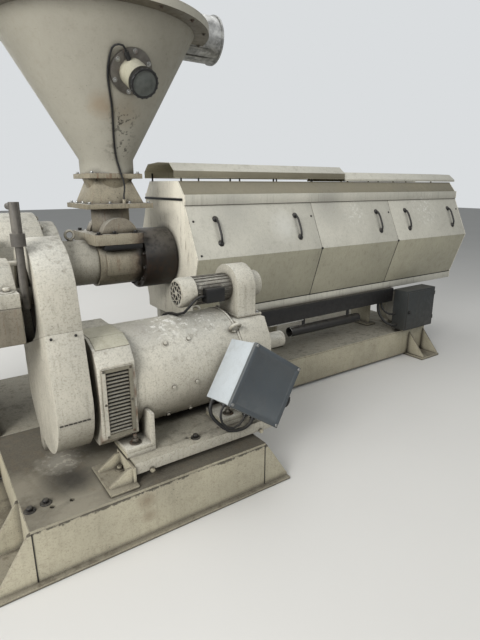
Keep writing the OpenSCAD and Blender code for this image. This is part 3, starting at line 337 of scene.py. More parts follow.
def make_materials():
    c = colours()
    dirt = list(c.floor_dirt)
    # Satin enamel on the motor, gearbox and belt guard: warm putty, peppered with dirt, with
    # a grey smear and clots of white dust on the motor's back, and a dark patch low on the motor's front
    # as painted shade
    enamel("machine_enamel", c.paint, dust=0.8, pepper=0.4,
           stains=(
               ((-190, -900, 860), 150, "#8D8A83", 0.6, False),
               ((60, -940, 850), 110, "#969389", 0.5, False),
               ((-60, -860, 880), 170, "#E2E1DA", 0.9, True),
               ((120, -900, 870), 130, "#E2E1DA", 0.9, True),
               # a dark patch low on the yoke's front: painted shade
               ((-20, -1050, 430), 260, "#5F584A", 0.5, False)))
    # The same on the motor's drive end, where rust runs from the edges
    enamel("rusting_enamel", c.paint, dust=0.8, pepper=0.45, rust=1.0,
           stains=(
               ((-316, -1096, 540), 42, "#6E4E33", 0.75, False),
               ((-316, -1096, 640), 42, "#6E4E33", 0.7, False),
               ((-316, -1096, 730), 36, "#6E4E33", 0.6, False),
               ((-480, -1096, 425), 50, "#5C3F2C", 0.85, False)))
    # Smoother enamel of the folded covers: faint runs, grey smears below the neck, pale scuffs
    enamel("cover_enamel", c.covers, dust=0.3, chips=0.3, streaks=0.35, speckle=0.2, pepper=0.14,
           grime_and_shade=0.75, shade=0.9,
           stains=(
               ((760, -300, 1400), 220, "#8E8C84", 0.45, False),
               ((1600, -300, 1390), 230, "#85837B", 0.5, False),
               ((1150, -360, 1260), 150, "#CFCEC6", 0.5, False),
               ((1900, -340, 1300), 150, "#D6D5CE", 0.5, True),
               ((2800, -330, 1330), 200, "#D6D5CE", 0.6, True)))
    # The covers' lower leaves and the guard's ends: the same, yellower, and darker as painted shade
    enamel("cover_enamel_low_shaded", linear("#ADA994"), dust=0.2, chips=0.4, streaks=0.3, speckle=0.2,
           pepper=0.15, grime_and_shade=0.85, shade=0.86)
    # The guard's end plates: the same, painted lighter as painted light, with brown runs from the hot
    # barrel
    enamel("stained_enamel_painted_light", linear("#E4DECC"), dust=0.3, chips=0.6, streaks=0.22, speckle=0.3,
           pepper=0.15, rust=0.1, grime_and_shade=0.7, shade=0.9)
    # Yellowed enamel of the base: scuffed, with grease along its edges
    enamel("base_enamel", c.base, dust=0.9, dust_colour=dirt, chips=1.0, streaks=0.18, speckle=0.4,
           pepper=0.3, grime_and_shade=1.0, roughness=0.58, shade=0.8, cover=0.7)
    # Trodden upper plates: oily dirt with paint showing through
    enamel("trodden_enamel", c.base, dust=1.0, dust_colour=shades(dirt, 0.7), chips=1.0, streaks=0.4,
           speckle=0.5, pepper=0.4, grime_and_shade=1.0, roughness=0.66, shade=0.7, cover=0.94,
           stains=(
               ((-640, -1240, 254), 290, "#8E8878", 0.8, False),
               ((-820, -960, 254), 170, "#8E8878", 0.65, False),
               ((-430, -1010, 254), 190, "#8E8878", 0.7, False),
               ((-605, -1010, 254), 160, "#2B2822", 0.85, False),
               ((-620, -835, 254), 120, "#8E8A7E", 0.65, False),
               ((-605, -825, 254), 130, "#A8A294", 0.5, True)))
    # Platform's plates: the base's enamel with a ragged line of grease under the top plate
    enamel("greasy_enamel", c.base, dust=0.9, dust_colour=dirt, chips=1.0, streaks=0.18, speckle=0.4,
           pepper=0.3, grime_and_shade=1.0, roughness=0.58, shade=0.8, cover=0.7, grease=(238, 5),
           stains=(
               ((-360, -1265, 190), 52, "#6F5F4A", 0.6, False),
               ((-352, -1265, 110), 44, "#6F5F4A", 0.5, False)))
    # Enamel of the slide plate: grey with plastic dust
    enamel("dusty_enamel", c.base, dust=0.95, dust_colour=linear("#8C887C"), chips=0.9, streaks=0.4,
           speckle=0.35, pepper=0.3, grime_and_shade=1.0, roughness=0.6, shade=0.86, cover=0.8)
    # Hopper enamel: an orange stain and a swarm of black chips below the level sensor
    enamel("hopper_enamel", c.hopper, dust=0.5, chips=0.4, streaks=0.05, speckle=0.25, pepper=0.08,
           grime_and_shade=0.85, shade=0.93,
           stains=(
               ((-90, -290, 1943), 90, "#8A6B42", 0.42, False),
               ((40, -270, 1930), 110, "#7C6A4C", 0.4, False),
               ((36, -260, 1870), 110, "#2E2922", 0.9, True),
               ((50, -190, 1740), 110, "#2E2922", 0.8, True)))
    # Underside of the hopper's rim, and the louvre's slats: enamel painted dark as painted shade, with
    # dust and chips
    enamel("rim_shade_enamel", linear("#7B7666"), dust=0.5, chips=0.6, speckle=0.6, pepper=0.4, grime_and_shade=0.9,
           shade=0.7)
    # Enamel of the feed hopper's neck: brown with baked dust and runs
    enamel("baked_enamel", linear("#9E957F"), dust=0.6, chips=0.7, streaks=0.5, speckle=0.6, pepper=0.4,
           rust=0.4, grime_and_shade=1.0, shade=0.72)
    # Enamel of the throat and the gearbox: a darker brown-grey, with streaks and some rust
    enamel("darkened_brown_grey_enamel", linear("#888070"), dust=0.6, chips=0.6, streaks=0.4, speckle=0.6, pepper=0.5,
           rust=0.2, grime_and_shade=1.0, shade=0.72)
    # Enamel of the feed casting, scorched towards the heated barrel
    enamel("scorched_enamel", linear("#A39B87"), dust=0.5, chips=0.7, streaks=0.5, speckle=0.6,
           pepper=0.4, rust=0.3, shade=0.74, heat=(60, 150))
    # Sides of the hoods and the neck: enamel yellowed and dulled by heat, and darker as painted shade
    enamel("yellowed_shaded_enamel", linear("#7B7562"), dust=0.15, chips=0.3, streaks=0.2, speckle=0.2,
           pepper=0.1, grime_and_shade=0.6)
    # Inside of the hoods: the same enamel kept clean, and painted pale as painted light on its shaded
    # faces
    enamel("hood_lining_painted_light", linear("#DAD2B6"), dust=0.0, chips=0.1, speckle=0.1, pepper=0.05, grime_and_shade=0.1,
           under=0.0)
    # Barrel of the blower's motor: dark enamel spattered with pale dust
    enamel("spattered_enamel", linear("#4F4D48"), dust=1.0, dust_colour=linear("#A5A297"), speckle=0.5,
           pepper=0.3, streaks=0.2, cover=0.35,
           stains=(
               ((190, -860, 1000), 160, "#B5B2A6", 0.85, True),))
    # Powder coat on the conduit box's body: cool pale grey, the cover's grey painted lighter as painted
    # light, clean
    enamel("pale_powder_coat_painted_light", c.box_painted_light, dust=0.25, chips=0.1, streaks=0.12, speckle=0.05,
           pepper=0.05, grime_and_shade=0.4, roughness=0.42, shade=0.93)
    # Powder coat on the box cover: slate grey with dry smears
    enamel("slate_powder_coat", c.box_dark, dust=0.25, chips=0.2, streaks=0.2, speckle=0.06,
           pepper=0.08, grime_and_shade=0.6, roughness=0.42, shade=0.86)
    # Paint on the terminal box: near black, duller
    enamel("charcoal_paint", linear("#2B2E2E"), dust=0.4, dust_colour=linear("#6F6D66"), chips=0.3,
           streaks=0.2, speckle=0.1, pepper=0.1, grime_and_shade=0.6, shade=0.85)
    # Hot-dip zinc on the vent spout: grey crystals, dull
    metal("galvanised_sheet", c.steel, 0.42, spangle=True)
    # Zinc-plated heads and machined rings: brighter, a little rust
    metal("plated_steel", c.steel, 0.36, rust=0.25)
    # Large nuts and studs: dark oiled steel going brown
    metal("oiled_steel", linear("#6E6A62"), 0.45, rust=0.6)
    # Oxidised iron of the barrel flange: dusty grey on top, black, burnt brown below
    moulded("scorched_iron", linear("#15120F"), 0.5, dust=0.85, dust_colour=linear("#6A655E"),
            scorch=0.7)
    # Black-painted iron of handles, brackets and wireway
    moulded("black_iron", c.iron, 0.45, dust=0.22)
    # Iron of the oil line: grey-brown under a film of dust
    moulded("dusty_iron", linear("#4B4741"), 0.6, dust=0.6)
    # Sheet metal of the level sensor's flange: tarnished brown-grey with a low sheen
    metal("tarnished_steel", linear("#7A7670"), 0.4, rust=0.05)
    # Grey-green cast cover in the end of the level sensor
    moulded("cast_cover", linear("#4D504C"), 0.55, dust=0.3)
    # Rubber and vinyl of cables, belts and glands
    moulded("black_rubber", c.black, 0.6, dust=0.2)
    # Moulded nylon of caps and switch bodies: black with a soft shine
    moulded("black_nylon", c.black, 0.4, dust=0.1)
    # White plastic pipe under the wireway: grey-white with dust
    moulded("white_pipe", linear("#C9C8C2"), 0.45, dust=0.4)


# Shaping

def deselect():
    if bpy.context.mode != "OBJECT":
        bpy.ops.object.mode_set(mode="OBJECT")
    bpy.ops.object.select_all(action="DESELECT")


def pick(*pieces):
    deselect()
    for piece in pieces:
        piece.select_set(True)
    bpy.context.view_layer.objects.active = pieces[0]


def start(kind, **settings):
    """Adds a primitive, and puts its place and size into its mesh."""
    deselect()
    getattr(bpy.ops.mesh, f"primitive_{kind}_add")(**settings)
    bpy.ops.object.transform_apply()
    return bpy.context.object


def smooth(piece):
    """Shades a picked piece smooth, apart from its sharp edges."""
    bpy.ops.object.shade_smooth_by_angle(angle=math.radians(38))
    return piece


def rounded(piece, width, segments=2, angle=30):
    """Rounds every edge sharper than the angle, width in metres, and smooths the rest."""
    pick(piece)
    bevel = piece.modifiers.new("rounding", "BEVEL")
    bevel.width = width
    bevel.segments = segments
    bevel.limit_method = "ANGLE"
    bevel.angle_limit = math.radians(angle)
    bpy.ops.object.modifier_apply(modifier=bevel.name)
    return smooth(piece)


def block(low, high, edge=1.5, segments=2):
    """A plate or bar between two corners in mm, its edges rounded by edge mm."""
    low, high = Vector(low), Vector(high)
    piece = start("cube", size=1, location=(low + high) * MM / 2, scale=(high - low) * MM)
    return rounded(piece, edge * MM, segments)


def rod(a, b, radius, edge=1.0, sides=32):
    """A round bar from a to b in mm, its ends rounded by edge mm."""
    a, b = Vector(a), Vector(b)
    turned_to = (b - a).to_track_quat("Z", "Y").to_euler()
    piece = start("cylinder", vertices=sides, radius=radius * MM, depth=(b - a).length * MM,
                  location=(a + b) * MM / 2, rotation=turned_to)
    return rounded(piece, edge * MM) if edge else piece


def at(*place):
    """The matrix that moves a shape by x, y and z in mm."""
    return Matrix.Translation(Vector(place) * MM)


def turn(angle, axis):
    """The matrix that turns a shape by radians about an axis through the origin."""
    return Matrix.Rotation(angle, 4, axis)


def standing(place, way, spin=0.0):
    """The matrix that stands a shape made about the origin at a place in mm, its Z along way."""
    lean = Vector(way).to_track_quat("Z", "Y").to_matrix().to_4x4()
    return at(*place) @ lean @ turn(spin, "Z")


def turned(outline, centre=(0, 0, 0), way=(0, 0, 1), steps=40):
    """Spins a chain of (radius, height) points in mm about an axis through centre."""
    deselect()
    bpy.ops.mesh.primitive_plane_add(size=0.01)
    piece = bpy.context.object
    bpy.ops.object.mode_set(mode="EDIT")
    bpy.ops.mesh.select_all(action="SELECT")
    bpy.ops.mesh.merge(type="CENTER")
    points = [Vector((r, 0, h)) * MM for r, h in outline]
    bpy.ops.transform.translate(value=points[0])
    for before, after in zip(points, points[1:]):
        bpy.ops.mesh.extrude_region_move(TRANSFORM_OT_translate={"value": after - before})
    bpy.ops.mesh.select_all(action="SELECT")
    bpy.ops.mesh.spin(steps=steps, angle=math.tau, center=(0, 0, 0), axis=(0, 0, 1))
    bpy.ops.mesh.select_all(action="SELECT")
    bpy.ops.mesh.remove_doubles(threshold=0.00002)
    bpy.ops.mesh.normals_make_consistent(inside=False)
    bpy.ops.object.mode_set(mode="OBJECT")
    piece.data.transform(standing(centre, way))
    return smooth(piece)


def repeated(master, matrices):
    """Copies a master by each matrix, each copy with its own mesh, and drops the master."""
    made = []
    for matrix in matrices:
        piece = master.copy()
        piece.data = master.data.copy()
        bpy.context.scene.collection.objects.link(piece)
        piece.data.transform(matrix)
        made.append(piece)
    bpy.data.objects.remove(master)
    return made


def copies(master, spots, seed=1):
    """Copies a master to each (place, way), each turned by chance about its way."""
    turns = random.Random(seed)
    return repeated(master, [standing(place, way, turns.uniform(0, math.tau)) for place, way in spots])


def around(count, radius, first=0.5):
    """Points evenly round a circle, as radius times sine and cosine, from first steps round on."""
    angles = [math.tau * (k + first) / count for k in range(count)]
    return [(radius * math.sin(a), radius * math.cos(a)) for a in angles]


def joined(pieces):
    pick(*pieces)
    if len(pieces) > 1:
        bpy.ops.object.join()
    return bpy.context.object


def finish(piece, name, material, replaces=()):
    """Names a piece, gives it its finish and has it ride on the machine."""
    piece.name = piece.data.name = name
    piece.data.materials.clear()
    piece.data.materials.append(MATERIALS[material])
    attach(piece, "root")
    if replaces:
        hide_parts(*replaces)


def keep(pieces, name, material, *replaces):
    """Joins shapes into one finished piece."""
    finish(joined(pieces), name, material, replaces)


def hex_bolt(across, washer=True, tall=0.62):
    """A hexagon head with a chamfered top on a washer, standing on the origin, across in mm."""
    lift = 0.16 * across if washer else 0.0
    corner = 0.577 * across
    head = start("cylinder", vertices=6, radius=corner * MM, depth=tall * across * MM,
                 location=(0, 0, (lift + tall * across / 2) * MM))
    pieces = [rounded(head, 0.07 * across * MM, 1)]
    if washer:
        pieces.append(turned([(0, lift), (0.92 * across, lift), (1.0 * across, lift * 0.6),
                              (1.0 * across, 0), (0, 0)], steps=18))
    else:
        pieces.append(turned([(0, 1.02 * tall * across), (0.3 * across, 1.02 * tall * across),
                              (0.42 * across, 0.8 * tall * across)], steps=12))
    return joined(pieces)


def socket_screw(radius):
    """A low round head with a driving recess."""
    return turned([(0, radius * 0.3), (radius * 0.4, radius * 0.3), (radius * 0.45, radius * 0.62),
                   (radius * 0.8, radius * 0.55), (radius, radius * 0.2), (radius, 0), (0, 0)],
                  steps=16)


def bolts(name, across, spots, seed, material, washer=True):
    """Hexagon heads on each (place, way), as one piece."""
    keep(copies(hex_bolt(across, washer), spots, seed), name, material)


def extent(node):
    """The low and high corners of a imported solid's box, in mm."""
    low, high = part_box(node)
    return low / MM, high / MM


def dressed(node, material, edge=None, extra=None):
    """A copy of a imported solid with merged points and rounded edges, in its finish.
    extra is a function of a face's centre and normal that names another finish, or None."""
    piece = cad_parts[node].copy()
    piece.data = piece.data.copy()
    piece.parent = None
    for key in [k for k in piece.keys() if k.startswith("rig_")]:
        del piece[key]
    bpy.context.scene.collection.objects.link(piece)
    pick(piece)
    bpy.ops.object.mode_set(mode="EDIT")
    bpy.ops.mesh.select_all(action="SELECT")
    bpy.ops.mesh.remove_doubles(threshold=0.00002)
    bpy.ops.mesh.dissolve_limited(angle_limit=math.radians(0.6))
    bpy.ops.object.mode_set(mode="OBJECT")
    if edge:
        rounded(piece, edge)
    else:
        smooth(piece)
    finish(piece, node + "_finished", material, (node,))
    finishes = [material]
    for face in piece.data.polygons:
        other = extra(face.center / MM, face.normal) if extra else None
        if other and other not in finishes:
            finishes.append(other)
            piece.data.materials.append(MATERIALS[other])
        face.material_index = finishes.index(other or material)


# Directions on the machine
UP = (0, 0, 1)
DOWN = (0, 0, -1)
TO_DISCHARGE = (1, 0, 0)
TO_DRIVE = (-1, 0, 0)
TO_FRONT = (0, -1, 0)

# The machine's sizes in mm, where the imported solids' boxes don't give them
SCREW_Z = 1067
SLIDE_TOP = 350
LOUVRE_SLATS = 17
LOUVRE_PITCH = 17
HOPPER_X = 18
HOPPER_RIM_Z = 2365
# The guard: half width and height of its lower seam, fold and shoulder, and places along X
SEAM = (322, 715)
FOLD = (440, 1085)
SHOULDER = (287, 1410)
COVER_SEAMS = (1450, 2330)
GUARD_START = 391
HOOD_SPLIT = 1872
HANDLE_XS = (591, 1265, 2145, 2520, 3155)


# Each cable's diameter, length, stiffness and the points of its route, in metres, exit first
ROUTES = {
    "sensor_cable": (0.010, 0.923, "limp", (
        (-0.007, -0.474, 2.174), (-0.012, -0.480, 2.183), (-0.026, -0.486, 2.196),
        (-0.045, -0.483, 2.199), (-0.063, -0.472, 2.195), (-0.072, -0.456, 2.185),
        (-0.077, -0.426, 2.150), (-0.079, -0.401, 2.110), (-0.075, -0.379, 2.070),
        (-0.065, -0.358, 2.030), (-0.053, -0.337, 1.990), (-0.041, -0.316, 1.950),
        (-0.032, -0.294, 1.910), (-0.024, -0.272, 1.870), (-0.017, -0.250, 1.830),
        (-0.009, -0.228, 1.790), (0.000, -0.206, 1.750), (0.011, -0.183, 1.710),
        (0.024, -0.166, 1.670), (0.036, -0.165, 1.628), (0.045, -0.171, 1.584), (0.053, -0.173, 1.555),
        (0.056, -0.176, 1.525), (0.052, -0.179, 1.498), (0.046, -0.181, 1.474), (0.046, -0.181, 1.450))),
    "blower_cable": (0.014, 0.880, "medium", (
        (0.151, -0.926, 0.985), (0.127, -0.926, 0.985), (0.103, -0.927, 0.977), (0.082, -0.922, 0.957),
        (0.064, -0.911, 0.931), (0.048, -0.893, 0.906), (0.033, -0.844, 0.889), (0.028, -0.798, 0.887),
        (0.025, -0.753, 0.877), (0.024, -0.710, 0.860), (0.024, -0.671, 0.836), (0.024, -0.636, 0.805),
        (0.024, -0.608, 0.768), (0.024, -0.586, 0.728), (0.024, -0.572, 0.684), (0.024, -0.565, 0.638),
        (0.024, -0.565, 0.580), (0.024, -0.565, 0.530), (0.024, -0.565, 0.480), (0.024, -0.565, 0.430),
        (0.024, -0.565, 0.375))),
    "conduit_loop_outer": (0.018, 0.348, "medium", (
        (0.037, -1.174, 0.527), (0.032, -1.175, 0.520), (0.022, -1.180, 0.495), (0.023, -1.187, 0.466),
        (0.036, -1.194, 0.439), (0.074, -1.207, 0.393), (0.108, -1.216, 0.366), (0.151, -1.220, 0.356),
        (0.184, -1.222, 0.356), (0.206, -1.223, 0.360), (0.226, -1.222, 0.369), (0.240, -1.220, 0.382),
        (0.243, -1.219, 0.387))),
    "conduit_loop_inner": (0.012, 0.248, "medium", (
        (0.074, -1.218, 0.507), (0.070, -1.219, 0.501), (0.062, -1.220, 0.492), (0.053, -1.225, 0.462),
        (0.060, -1.230, 0.427), (0.086, -1.234, 0.398), (0.121, -1.235, 0.386), (0.158, -1.234, 0.393),
        (0.182, -1.230, 0.412), (0.191, -1.228, 0.425))),
    "terminal_hose_outer": (0.022, 0.325, "medium", (
        (2.295, -0.310, 0.530), (2.295, -0.310, 0.496), (2.297, -0.317, 0.455), (2.304, -0.333, 0.413),
        (2.318, -0.359, 0.374), (2.341, -0.386, 0.345), (2.373, -0.406, 0.328), (2.408, -0.412, 0.321),
        (2.440, -0.412, 0.321))),
    "terminal_hose_inner": (0.018, 0.203, "medium", (
        (2.340, -0.305, 0.530), (2.340, -0.305, 0.512), (2.342, -0.312, 0.486), (2.348, -0.324, 0.462),
        (2.358, -0.340, 0.442), (2.372, -0.357, 0.428), (2.391, -0.371, 0.419), (2.416, -0.381, 0.415),
        (2.432, -0.384, 0.414), (2.440, -0.384, 0.414))),
}


class EXTRUDER_OT_camera(bpy.types.Operator):
    """Places the camera in front of the motor, at a standing person's eye height"""
    bl_idname = "extruder.camera"
    bl_label = "Camera"

    def execute(self, context):
        data = bpy.data.cameras.new("extruder_camera")
        data.lens = sizes().lens
        data.sensor_width = 36
        data.clip_end = 200
        camera = bpy.data.objects.new("extruder_camera", data)
        context.scene.collection.objects.link(camera)
        # fitted to the photo, with its view 16.03 degrees down and 34.6 degrees to the right of Y
        down, right = 16.03, 34.6
        camera.location = (-1.03, -2.96, 1.533)
        camera.rotation_euler = (math.radians(90 - down), 0, math.radians(-right))
        context.scene.camera = camera
        return {"FINISHED"}


class EXTRUDER_OT_stage(bpy.types.Operator):
    """Adds the pale floor, the soft lamps and the plain surroundings"""
    bl_idname = "extruder.stage"
    bl_label = "Stage"

    def execute(self, context):
        # a floor 60 m wide, 1 mm under the machine's feet
        floor = start("plane", size=60, location=(1.0, 0, -0.001))
        floor.name = floor.data.name = "studio_floor"
        tree = blank_material("studio_floor_paint")
        co = add(tree, "TexCoord", out="Object")
        cloud = add(tree, "TexNoise", {"Vector": co, "Scale": 0.8, "Detail": 5.0})
        tone = add(tree, "Mix", {0: cloud, 6: shades(colours().floor, 1.03),
                                 7: shades(colours().floor, 0.95)}, 2, data_type="RGBA")
        finish_material(tree, tone, 0.75, ior=1.45)
        floor.data.materials.append(MATERIALS["studio_floor_paint"])

        # surroundings that light the machine dimly and look pale to the camera
        world = bpy.data.worlds.new("studio_surroundings")
        context.scene.world = world
        world.use_nodes = True
        tree = world.node_tree
        tree.nodes.clear()
        seen = add(tree, "LightPath", out="Is Camera Ray")
        light = add(tree, "Background", {"Color": linear("#E9EEF2"), "Strength": 0.38})
        shown = add(tree, "Background", {"Color": linear("#DADDDF"), "Strength": 1.0})
        both = add(tree, "MixShader", {0: seen, 1: light, 2: shown})
        add(tree, "OutputWorld", {"Surface": both})

        for name, place, aim, size, power in (
                ("key_lamp", (-4.8, -4.0, 3.9), (0.2, -0.6, 1.0), 2.6, 320),
                ("left_lamp", (-5.6, -0.9, 2.9), (0.4, 0.0, 1.2), 2.4, 110),
                ("front_lamp", (2.6, -5.5, 4.6), (1.6, -0.3, 0.9), 4.0, 85),
                ("top_lamp", (0.8, 0.6, 6.2), (0.8, 0.0, 0.5), 5.0, 145),
                ("back_lamp", (0.5, 5.5, 4.0), (1.0, 0, 0.8), 4.0, 110)):
            data = bpy.data.lights.new(name, "AREA")
            data.size = size
            data.energy = power
            lamp = bpy.data.objects.new(name, data)
            context.scene.collection.objects.link(lamp)
            lamp.location = place
            lamp.rotation_euler = (Vector(aim) - Vector(place)).to_track_quat("-Z", "Y").to_euler()
        context.scene.view_settings.view_transform = "Standard"
        return {"FINISHED"}


class EXTRUDER_OT_materials(bpy.types.Operator):
    """Makes the finishes: enamels, powder coats, zinc, iron, rubber and nylon"""
    bl_idname = "extruder.materials"
    bl_label = "Finishes"

    def execute(self, context):
        make_materials()
        return {"FINISHED"}


class EXTRUDER_OT_cables(bpy.types.Operator):
    """Lays the cables and hoses along their routes, from gland to gland"""
    bl_idname = "extruder.cables"
    bl_label = "Cables"

    def execute(self, context):
        for name, (diameter, length, stiffness, points) in ROUTES.items():
            data = bpy.data.curves.new(name + "_run", "CURVE")
            data.dimensions = "3D"
            data.bevel_depth = diameter / 2
            data.bevel_resolution = 5
            data.use_fill_caps = True
            spline = data.splines.new("POLY")
            spline.points.add(len(points) - 1)
            for point, place in zip(spline.points, points):
                point.co = (*place, 1.0)
            spline.use_smooth = True
            run = bpy.data.objects.new(name + "_run", data)
            context.scene.collection.objects.link(run)
            data.materials.append(MATERIALS["black_rubber"])
            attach(run, "root")
            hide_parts(name)
        return {"FINISHED"}


class EXTRUDER_OT_base(bpy.types.Operator):
    """Dresses the base, platform and slide plate, with their fixing bolts"""
    bl_idname = "extruder.base"
    bl_label = "Base and platform"

    def execute(self, context):
        edge = sizes().edge
        for node in ("base_front_beam", "base_rear_beam", "base_cross_members", "base_end_feet",
                     "slide_bracket"):
            dressed(node, "base_enamel", edge)
        dressed("platform_skirt", "greasy_enamel", edge)
        dressed("platform_top", "trodden_enamel", edge)
        dressed("base_top_plate", "dusty_enamel", edge)
        dressed("slide_base", "dusty_enamel", edge,
                lambda centre, normal: "machine_enamel" if normal.y < -0.5 else None)

        low, high = extent("platform_top")
        slide_front = extent("slide_base")[0].y
        bracket_foot = high.z + 14
        across = sizes().frame_bolt / MM
        spots = [((low.x + 27, low.y + 129, high.z), UP), ((low.x + 93, low.y + 145, high.z), UP),
                 ((-48, slide_front + 50, SLIDE_TOP), UP)]
        bolts("platform_nuts", across, spots, 3, "black_iron")
        spots = [((-407, y, bracket_foot), UP) for y in (-1078, -1168)]
        bolts("slide_bolts", across, spots, 3, "base_enamel")
        # weld seams at the ends of the platform's front plate
        seam = rod((0, low.y - 1, high.z - 14), (0, low.y - 1, 12), 2, 0, 12)
        seams = repeated(seam, [at(x, 0, 0) for x in (low.x + 5, high.x - 5)])
        keep(seams, "platform_seams", "black_iron")
        # the slide's lock screws, in its front face
        spots = [((x, slide_front, 298), TO_FRONT) for x in (-303, 310)]
        bolts("slide_screws", 22, spots, 4, "base_enamel", washer=False)
        return {"FINISHED"}


class EXTRUDER_OT_motor(bpy.types.Operator):
    """Dresses the motor and fits its pole bolts, louvre screws, foot bolts and seams"""
    bl_idname = "extruder.motor"
    bl_label = "Motor"

    def execute(self, context):
        for node in ("motor_yoke", "motor_rear_housing", "motor_feet", "motor_tachometer",
                     "lifting_eyes"):
            dressed(node, "machine_enamel", sizes().casting_edge)
        dressed("motor_drive_end", "rusting_enamel", sizes().edge * 2)
        grille_low, grille_high = extent("motor_grille")
        grille_mid = (grille_low + grille_high) / 2
        frame_width = 17

        # slats inside the louvre's frame take the dark enamel as painted shade
        def slat_finish(centre, normal):
            inside = (grille_low.x + frame_width < centre.x < grille_high.x - frame_width
                      and grille_low.z + frame_width < centre.z < grille_high.z - frame_width)
            return "rim_shade_enamel" if inside else None

        dressed("motor_grille", "rusting_enamel", None, slat_finish)
        # black sheets in the air passages over each slat, behind its lip, as painted shade
        slope, first_height, half_width = math.radians(35.8), 28.2, 271.5
        shade_sheets = []
        for side in (-1, 1):
            near, far = sorted((0, -side * 13))
            gap = block((grille_low.x + 18.5, near, 0), (grille_high.x - 18.5, far, 1.2), 0.3, 1)
            shade_sheets += repeated(gap, [
                at(0, grille_mid.y + side * half_width, grille_low.z + first_height + LOUVRE_PITCH * k)
                @ turn(-side * slope, "X") for k in range(LOUVRE_SLATS)])
        keep(shade_sheets, "motor_louvre_shade_sheets", "black_nylon")
        # loose cover sheet on the drive end's roof, bent over its front
        lid = block((-466, -980, 886), (-312, -826, 889), 1)
        bent = block((-466, 0, -3), (-312, 84, 0), 1)
        bent.data.transform(at(0, -980, 886) @ turn(math.pi + math.atan2(34, 78), "X"))
        keep([lid, bent], "drive_end_lid", "cover_enamel_low_shaded")

        # two rows of pole bolts round the yoke, by their angle from its top
        low, high = extent("motor_yoke")
        mid = (low + high) / 2
        radius = (high.z - low.z) / 2
        spots = []
        for x in (low.x + 190, low.x + 315):
            for angle in (45, 93, 135, -45, -93, -135):
                a = math.radians(angle)
                way = (0, -math.sin(a), math.cos(a))
                spots.append(((x, mid.y + way[1] * (radius - 1), mid.z + way[2] * (radius - 1)), way))
        bolts("motor_pole_bolts", sizes().pole_bolt / MM, spots, 5, "machine_enamel")

        # six screws in the frame of each louvre
        spots = []
        for side, y in ((-1, grille_low.y), (1, grille_high.y)):
            for x in (grille_low.x + 10, grille_high.x - 10):
                for z in (grille_low.z + 10, grille_mid.z, grille_high.z - 10):
                    spots.append(((x, y, z), (0, side, 0)))
        keep(copies(socket_screw(5.5), spots, 6), "motor_louvre_screws", "oiled_steel")

        # end-bell ring welded round the yoke, and the rear ring
        ring = turned([(radius - 6, 0), (radius + 2.5, 0), (radius + 4, 3), (radius + 4, 9),
                       (radius + 2.5, 12), (radius - 6, 12)], steps=96)
        rings = repeated(ring, [standing((x, mid.y, mid.z), TO_DISCHARGE) for x in (low.x, high.x - 14)])
        keep(rings, "motor_end_rings", "machine_enamel")

        # a nut on a stud at each corner of the feet
        foot_top = extent("motor_feet")[0].z + 20
        spots = [((x, mid.y + s * (radius + 10), foot_top), UP)
                 for x in (low.x - 20, high.x - 120) for s in (-1, 1)]
        nuts = copies(hex_bolt(28), spots, 7)
        studs = repeated(rod((0, 0, 15), (0, 0, 44), 9, 1.5, 20), [at(*place) for place, _ in spots])
        keep(nuts + studs, "motor_foot_bolts", "oiled_steel")
        return {"FINISHED"}


class EXTRUDER_OT_blower(bpy.types.Operator):
    """Dresses the motor's cooling blower: scroll, motor with a slotted fan cowl, terminal block"""
    bl_idname = "extruder.blower"
    bl_label = "Cooling blower"

    def execute(self, context):
        dressed("blower_scroll", "machine_enamel", sizes().edge)
        low, high = extent("blower_motor")
        cowl_radius, block_reach = 78, 112
        x, y, z = low.x, low.y + block_reach, high.z - cowl_radius
        centre, along = (x, y, z), TO_DISCHARGE

        # ribbed barrel
        shell = [turned([(0, 91), (60, 91), (69, 88), (72, 84), (72, 306), (0, 306)], centre, along, 56)]
        fins = 22
        fin = block((96, -1.8, 70), (296, 1.8, 77), 1, 1)
        shell += repeated(fin, [at(x, y, z) @ turn(math.tau * (k + 0.5) / fins, "X")
                                for k in range(fins)])
        keep(shell, "blower_motor_shell", "spattered_enamel", "blower_motor")

        # cowl whose domed end is open round a plain hub, with a black disc behind the bars as painted
        # shade in its hollow
        shade_disc = turned([(0, 14), (63, 14), (63, 11), (0, 11)], centre, along, 40)
        keep([shade_disc], "blower_cowl_shade_disc", "black_nylon")
        cowl = [turned([(0, 9), (13, 9), (15, 6), (13, 3), (0, 3)], centre, along, 32),
                turned([(36, 9), (41, 9), (41, 3), (36, 3), (36, 9)], centre, along, 48),
                turned([(60, 91), (60, 3), (70, 6), (76, 15), (cowl_radius, 24), (cowl_radius, 88),
                        (75, 91)], centre, along, 56)]
        # each bar bends round the hub by so many radians per mm of radius
        bend = 0.011
        for count, inner, outer in ((6, 12, 38), (12, 39, 63)):
            for k in range(count):
                ends = []
                for r in (inner, (inner + outer) / 2, outer):
                    a = math.tau * k / count + r * bend
                    ends.append(Vector((x + 6, y - r * math.sin(a), z + r * math.cos(a))))
                cowl += [rod(*pair, 3.2, 0, 8) for pair in zip(ends, ends[1:])]
        keep(cowl, "blower_cowl", "machine_enamel")

        box = [block((x + 121, y - block_reach, z - 50), (x + 231, y - 60, z + 25), 4),
               block((x + 126, y - 114, z - 45), (x + 226, y - 106, z + 20), 2)]
        keep(box, "blower_terminal_block", "black_nylon")
        low, high = extent("blower_scroll")
        spots = [((bolt_x, bolt_y, low.z + 14), UP) for bolt_y in (low.y + 16, high.y - 16)
                 for bolt_x in (low.x + 20, high.x - 60)]
        bolts("blower_bolts", sizes().cover_bolt / MM, spots, 8, "plated_steel")
        return {"FINISHED"}


